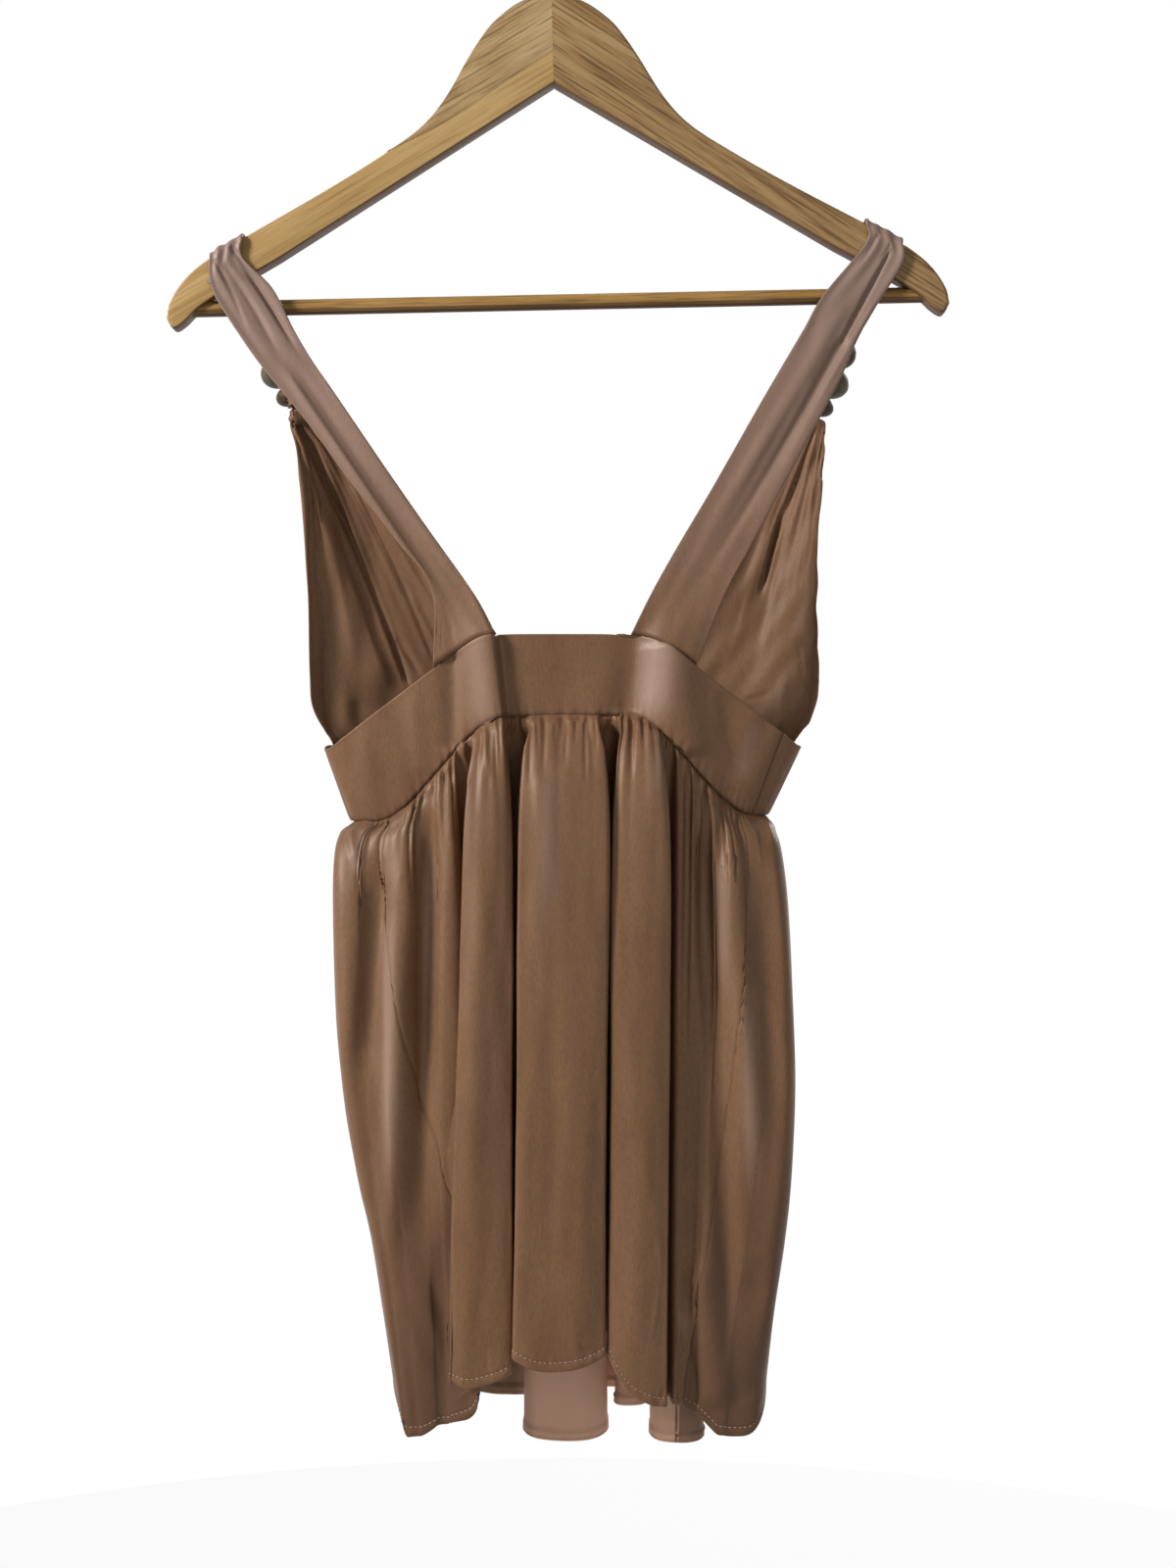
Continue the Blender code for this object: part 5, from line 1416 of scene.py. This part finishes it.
def makeStrap(side):
    own = straps[side]
    across = edgedShares(30.0, 0.7)[::-1]
    level = 2 * across - 1
    half = straps["thickness"] / 2
    plain = np.full(len(across), half)
    first, last = own["atBand"]
    angle = bandAngle(first + (last - first) * across, 0.0)
    edge = bandPoint(angle, 0.0)
    edge[:, 1] += half
    rows, thick, pleated = [edge], [plain], [0.0]
    lowest = float(edge[:, 1].mean())
    armFront = -(hanger["thick"] / 2 + straps["clear"] + half)
    first, last = own["overHanger"]
    armX = first + (last - first) * across
    armZ = np.array([armTopHeight(v) for v in armX])
    highest, startHeight = own["stations"][-1][0], float(edge[:, 2].mean())
    for height, left, right in own["stations"]:
        rise = (height - startHeight) / (highest - startHeight)
        depth = lowest + (armFront - lowest) * rise
        slope = (armZ[0] - armZ[-1]) * rise * 0.55
        rows.append(np.stack([left + (right - left) * across, np.full(len(across), depth),
                              height + slope * (across - 0.5)], axis=-1))
        thick.append(plain)
        pleated.append(float(ease(rise, 0.75, 1.0)))
    for share, rise in straps["overArm"]:
        rows.append(np.stack([armX, np.full(len(across), -share * armFront), armZ + rise],
                             axis=-1))
        thick.append(plain)
        pleated.append(1.0)
    centres, down = beadRow(side)
    neckStart = centres[0] - down * (beads["row"][0].half + 5.0)
    neckEnd = centres[1] - down * 0.2
    sideways = np.outer(level * straps["neckWidth"], (1.0, 0.0, 0.0))
    hung = rows[-1]
    for share in (0.4, 0.75):
        squeeze = ease(share, 0.0, 1.0)
        rows.append(hung * (1 - squeeze) + (neckStart[None] + sideways) * squeeze)
        thick.append(half * (1 - squeeze) + neckHalf(level) * squeeze)
        pleated.append(1.0)
    for share in (0.0, 0.35, 1.0):
        rows.append((neckStart + (neckEnd - neckStart) * share)[None] + sideways)
        thick.append(neckHalf(level))
        pleated.append(0.5)
    middle, finer, wide, fromSide, full = clothThrough(rows, thick, 9)
    amount = np.interp(finer, range(len(rows)), pleated)[:, None]
    normals = squareTo(middle)
    pleats = straps["pleatDepth"] * amount * (1 + np.cos(
        2 * math.pi * (straps["pleats"] * across[None] ** 0.85 + 0.1 * np.sin(finer[:, None]))))
    room = np.clip(wide[:, -1:] / 18.0, 0.15, 1.0)
    lift = pleats * room * bump(np.minimum(0, fromSide - 2), 2)
    lift += 0.2 * hangWaves(wide, finer[:, None] * 16, 31 + side, (9, 20), (70, 160))
    face = middle + normals * (full / 2 + lift)[..., None]
    face[..., 1] -= 1.1 * amount * (face[..., 1] < 0)
    face = press(face, own["creases"])
    mark = np.zeros(fromSide.shape)
    mark[:1] = 1.0
    piece = clothShell(own["node"] + "_cloth", face, full, finishes["satinStrap"],
                       {"sewn": mark})
    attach(piece, "root")
    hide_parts(own["node"])


# Gathered cups, from the beads to the front of the band
cups = {
    "thickness": 1.1,
    "bulge": 9.0, "waves": 3.5, "waveDepth": 1.2,
    "fan": ((6.5, 0.42), (11.0, 0.26)),     # pleats from the neck: how many and how deep
    "length": 180.0,
    "hem": 5.2,
    -1: {
        "node": "cup_left",
        # height outer inner
        "stations": ((-302.0, -149.0, -133.0), (-316.0, -145.5, -118.0),
                     (-339.0, -142.2, -99.0), (-361.0, -140.5, -83.0),
                     (-384.0, -139.4, -67.0), (-406.0, -138.2, -53.0),
                     (-446.0, -137.5, -26.0), (-466.0, -135.5, -13.0)),
        "atBand": (-124.0, 3.5), "flat": (0.135, 0.205), "area": 0.0165,
        "creases": (
            (-148, -296, -82, -453, 2.8, 0.9, 1.6, -2.4, 0, 0.05),
            (-150.5, -299, -85.5, -450, 2.8, 3.4, 1.0, 1.3, 0.05, 0.1),
            (-153, -312, -92, -462, 2.4, 15, 5, 4.2, 0.15, 0.15),
            (-124.5, -315, -67, -437, 2.3, 0.9, 1.4, -1.3, 0.15, 0.05),
            (-127, -318, -70, -437, 2.3, 2.6, 0.9, 0.7, 0.15, 0.05),
            (-142.5, -309, -133, -341, 0, 1.1, 1.1, -1, 0.2, 0.4),
            (-137.5, -309, -128.5, -335, 0, 1.1, 1.1, -0.8, 0.2, 0.4),
            (-90, -422, -74.5, -446, 0, 1.6, 1.6, -1.6, 0.1, 0.3),
            (-84.5, -394, -63.5, -434.5, 0, 3, 2, 1.2, 0.3, 0.1),
            (-129, -422, -125, -481, -2.3, 1.4, 1.8, -1.2, 0.2, 0.1),
            (-119, -448, -118, -484.5, 0, 4, 4, 0.9, 0.4, 0.1),
            (-111.5, -458.5, -109, -477, 0, 3, 3, -0.7, 0.3, 0.1),
            (-149, -300, -127.5, -408.5, 1.1, 1.4, 1.8, -0.6, 0.05, 0.5),
            (-147.5, -299, -110.5, -451.5, 2.3, 2.4, 2.4, 0.9, 0.05, 0.4)),
    },
    1: {
        "node": "cup_right",
        "stations": ((-302.5, 158.0, 143.0), (-322.0, 156.0, 128.0), (-339.0, 155.0, 115.0),
                     (-361.0, 153.6, 101.0), (-384.0, 153.0, 88.0), (-406.0, 152.5, 72.0),
                     (-446.0, 153.8, 40.0), (-466.0, 150.5, 26.0)),
        "atBand": (138.0, 9.5), "flat": (0.135, 0.200), "area": 0.0160,
        "creases": (
            (134.5, -346, 120.5, -402, 0, 1.1, 1.6, -4.5, 0.3, 0.4),
            (130, -352, 108, -420, 0, 3.0, 2.0, 1.4, 0.2, 0.3),
            (143, -424.5, 146, -448, 0, 1.8, 1.8, -1.8, 0.2, 0.3),
            (111, -460.5, 127.5, -456, 0, 1.2, 1.2, -0.8, 0.2, 0.2),
            (136.5, -438, 132.5, -478.5, 0, 3, 3, 0.9, 0.3, 0.1),
            (152, -445, 145, -478.5, 0, 1.5, 1.5, -1, 0.2, 0.1),
            (156, -301.5, 134, -398.5, -1.1, 1.4, 1.8, -1.5, 0.05, 0.5),
            (158, -301.5, 143, -420.5, 0, 1.3, 1.6, -1.2, 0.05, 0.5),
            (156.5, -301.5, 138, -417.5, 0, 1.8, 1.8, 1, 0.05, 0.4),
            (155, -302.5, 121, -446, -2.8, 2, 2.6, 0.8, 0.1, 0.3),
            (159, -302.5, 151, -429, 0, 1.5, 1.5, 0.8, 0.05, 0.3)),
    },
}


def makeCup(side):
    own = cups[side]
    across = edgedShares(90.0, 1.2)
    if side > 0:
        across = across[::-1]
    level = 2 * across - 1
    half = cups["thickness"] / 2
    centres, down = beadRow(side)
    neckTop = centres[1] + down * 0.2
    neckEnd = centres[2] + down * (beads["row"][2].half + 1.5)
    neck = neckHalf(level)
    sideways = np.outer(-side * level * straps["neckWidth"], (1.0, 0.0, 0.0))
    rows = [neckTop + (neckEnd - neckTop) * share + sideways for share in (0.0, 0.6, 1.0)]
    thick, falls = [neck] * 3, [-0.1, -0.05, 0.0]
    first, last = own["atBand"]
    angle = bandAngle(first + (last - first) * across, 0.0, behind=False)
    edge = bandPoint(angle, 0.0)
    edge[:, 1] -= half * np.sin(angle)
    high, low = float(neckEnd[2]), float(edge[:, 2].mean())
    depth = beads["middle"][side][1]
    for height, outer, inner in own["stations"]:
        fall = (height - high) / (low - high)
        opened = float(ease(fall, 0.0, 0.12))
        bulge = cups["bulge"] * math.sin(math.pi * fall) * (1 - level ** 2)
        waves = (cups["waveDepth"] * (1 - fall) * opened
                 * np.sin(2 * math.pi * cups["waves"] * across))
        rows.append(np.stack([outer + (inner - outer) * across,
                              depth * (1 - fall) + edge[:, 1] * fall + bulge + waves,
                              np.full(len(across), height)], axis=-1))
        thick.append(half + (neck - half) * (1 - opened) * 0.4)
        falls.append(fall)
    rows.append(edge)
    thick.append(np.full(len(across), half))
    falls.append(1.0)
    middle, finer, wide, fromSide, full = clothThrough(rows, thick, 12)
    fall = np.interp(finer, range(len(rows)), falls)[:, None]
    fan = np.clip(1.25 - fall, 0.0, 1.0) ** 1.5
    spaced = across + 0.06 * np.sin(5.3 * across + 0.8) + 0.03 * np.sin(13.7 * across)
    (few, deep), (many, shallow) = cups["fan"]
    radial = (deep * np.cos(2 * math.pi * few * spaced + 2.0 * fall)
              + shallow * np.cos(2 * math.pi * many * spaced - 3.0 * fall + 1.0))
    room = np.clip(wide[:, -1:] / 45.0, 0.12, 1.0)
    lift = radial * fan * np.clip(fromSide / 4.0, 0, 1) * room
    lift += 0.35 * hangWaves(wide, fall * cups["length"], 41 + side, (16, 34), (80, 220))
    lift -= 0.3 * bump(fromSide - cups["hem"], 0.5) * ease(fall, 0.05, 0.2)
    fromBand = (1 - fall) * cups["length"]
    lift -= 0.5 * bump(fromBand, 1.5)
    face = middle + squareTo(middle) * (full / 2 + lift)[..., None]
    face = press(face, own["creases"])
    mark = np.clip(bump(fromBand, 1.2) + 0.4 * bump(fromSide - cups["hem"], 0.5), 0, 1)
    piece = clothShell(own["node"] + "_cloth", face, full, finishes["satinInside"],
                       {"sewn": mark})
    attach(piece, "root")
    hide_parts(own["node"])


for side in (-1, 1):
    makeStrap(side)
    makeCup(side)
print("straps and cups done")

# Lamps, pale surroundings, floor and camera
studio = {
    "cameraPlace": (0.02167, -1.3, -0.5081),
    "lens": 52.64,
    "floorDrop": 0.30, "floorSize": 1.0, "floorShade": 0.72, "floorGlow": 0.8,
    "aim": (0.01, 0.0, -0.5),
    "key": {"place": (-2.25, -1.28, 0.62), "size": 0.7, "power": 98.0},
    "fill": {"place": (0.9, -2.3, -0.2), "size": 1.3, "power": 8.0},
    "rim": {"place": (0.9, 1.9, 0.5), "size": 1.4, "power": 44.0},
    "worldLevel": 0.10,
}


def aimedLamp(name, settings):
    lamp = bpy.data.lights.new(name, "AREA")
    lamp.shape = "DISK"
    lamp.size, lamp.energy = settings["size"], settings["power"]
    holder = bpy.data.objects.new(name, lamp)
    bpy.context.collection.objects.link(holder)
    holder.location = settings["place"]
    away = np.subtract(settings["place"], studio["aim"])
    flatLength = math.hypot(away[0], away[1])
    holder.rotation_euler = (math.atan2(flatLength, away[2]), 0.0,
                             math.atan2(away[1], away[0]) + math.pi / 2)


for name in ("key", "fill", "rim"):
    aimedLamp("lamp_" + name, studio[name])

world = bpy.data.worlds.new("studio")
world.use_nodes = True
bpy.context.scene.world = world
tree = world.node_tree
air = tree.nodes["Background"]
path = addNode(tree, "ShaderNodeLightPath")
seen = path.outputs["Is Camera Ray"]
for ray in ("Is Glossy Ray", "Is Transmission Ray"):
    both = addNode(tree, "ShaderNodeMath", operation="ADD", use_clamp=True)
    tree.links.new(seen, both.inputs[0])
    tree.links.new(path.outputs[ray], both.inputs[1])
    seen = both.outputs[0]
tree.links.new(spread(tree, seen, studio["worldLevel"], 1.0), air.inputs["Strength"])
air.inputs["Color"].default_value = (1.0, 1.0, 1.0, 1.0)

# pale floor: white to the camera where nothing shades it
floorFinish, tree, shader = startFinish("floor_paint")
shader.inputs["Base Color"].default_value = (*[studio["floorShade"]] * 3, 1.0)
shader.inputs["Roughness"].default_value = 0.8
grainFloor = noise(tree, stretchedPlace(tree, 0.0, (1.0, 1.0, 1.0)), 90.0, 2.0)
tree.links.new(relief(tree, grainFloor, 0.05, 0.0005), shader.inputs["Normal"])
path = addNode(tree, "ShaderNodeLightPath")
glow = addNode(tree, "ShaderNodeEmission")
glow.inputs["Strength"].default_value = 1.0
lifted = addNode(tree, "ShaderNodeMixShader")
output = tree.nodes["Material Output"]
tree.links.new(spread(tree, path.outputs["Is Camera Ray"], 0.0, studio["floorGlow"]),
               lifted.inputs[0])
tree.links.new(shader.outputs[0], lifted.inputs[1])
tree.links.new(glow.outputs[0], lifted.inputs[2])
tree.links.new(lifted.outputs[0], output.inputs["Surface"])
bpy.ops.mesh.primitive_circle_add(
    vertices=96, radius=studio["floorSize"], fill_type="NGON",
    location=(studio["aim"][0], 0.0, float(cadLow[2]) - studio["floorDrop"]))
floor = bpy.context.active_object
floor.name = "floor"
floor.data.materials.append(floorFinish)

camera = bpy.data.cameras.new("camera")
camera.sensor_width, camera.lens = 36.0, studio["lens"]
camera.sensor_fit = "AUTO"
camera.clip_start, camera.clip_end = 0.01, 30.0
viewer = bpy.data.objects.new("camera", camera)
bpy.context.collection.objects.link(viewer)
viewer.location = studio["cameraPlace"]
viewer.rotation_euler = (math.pi / 2, 0.0, 0.0)
bpy.context.scene.camera = viewer
bpy.context.scene.view_settings.view_transform = "Standard"
print("studio ready")
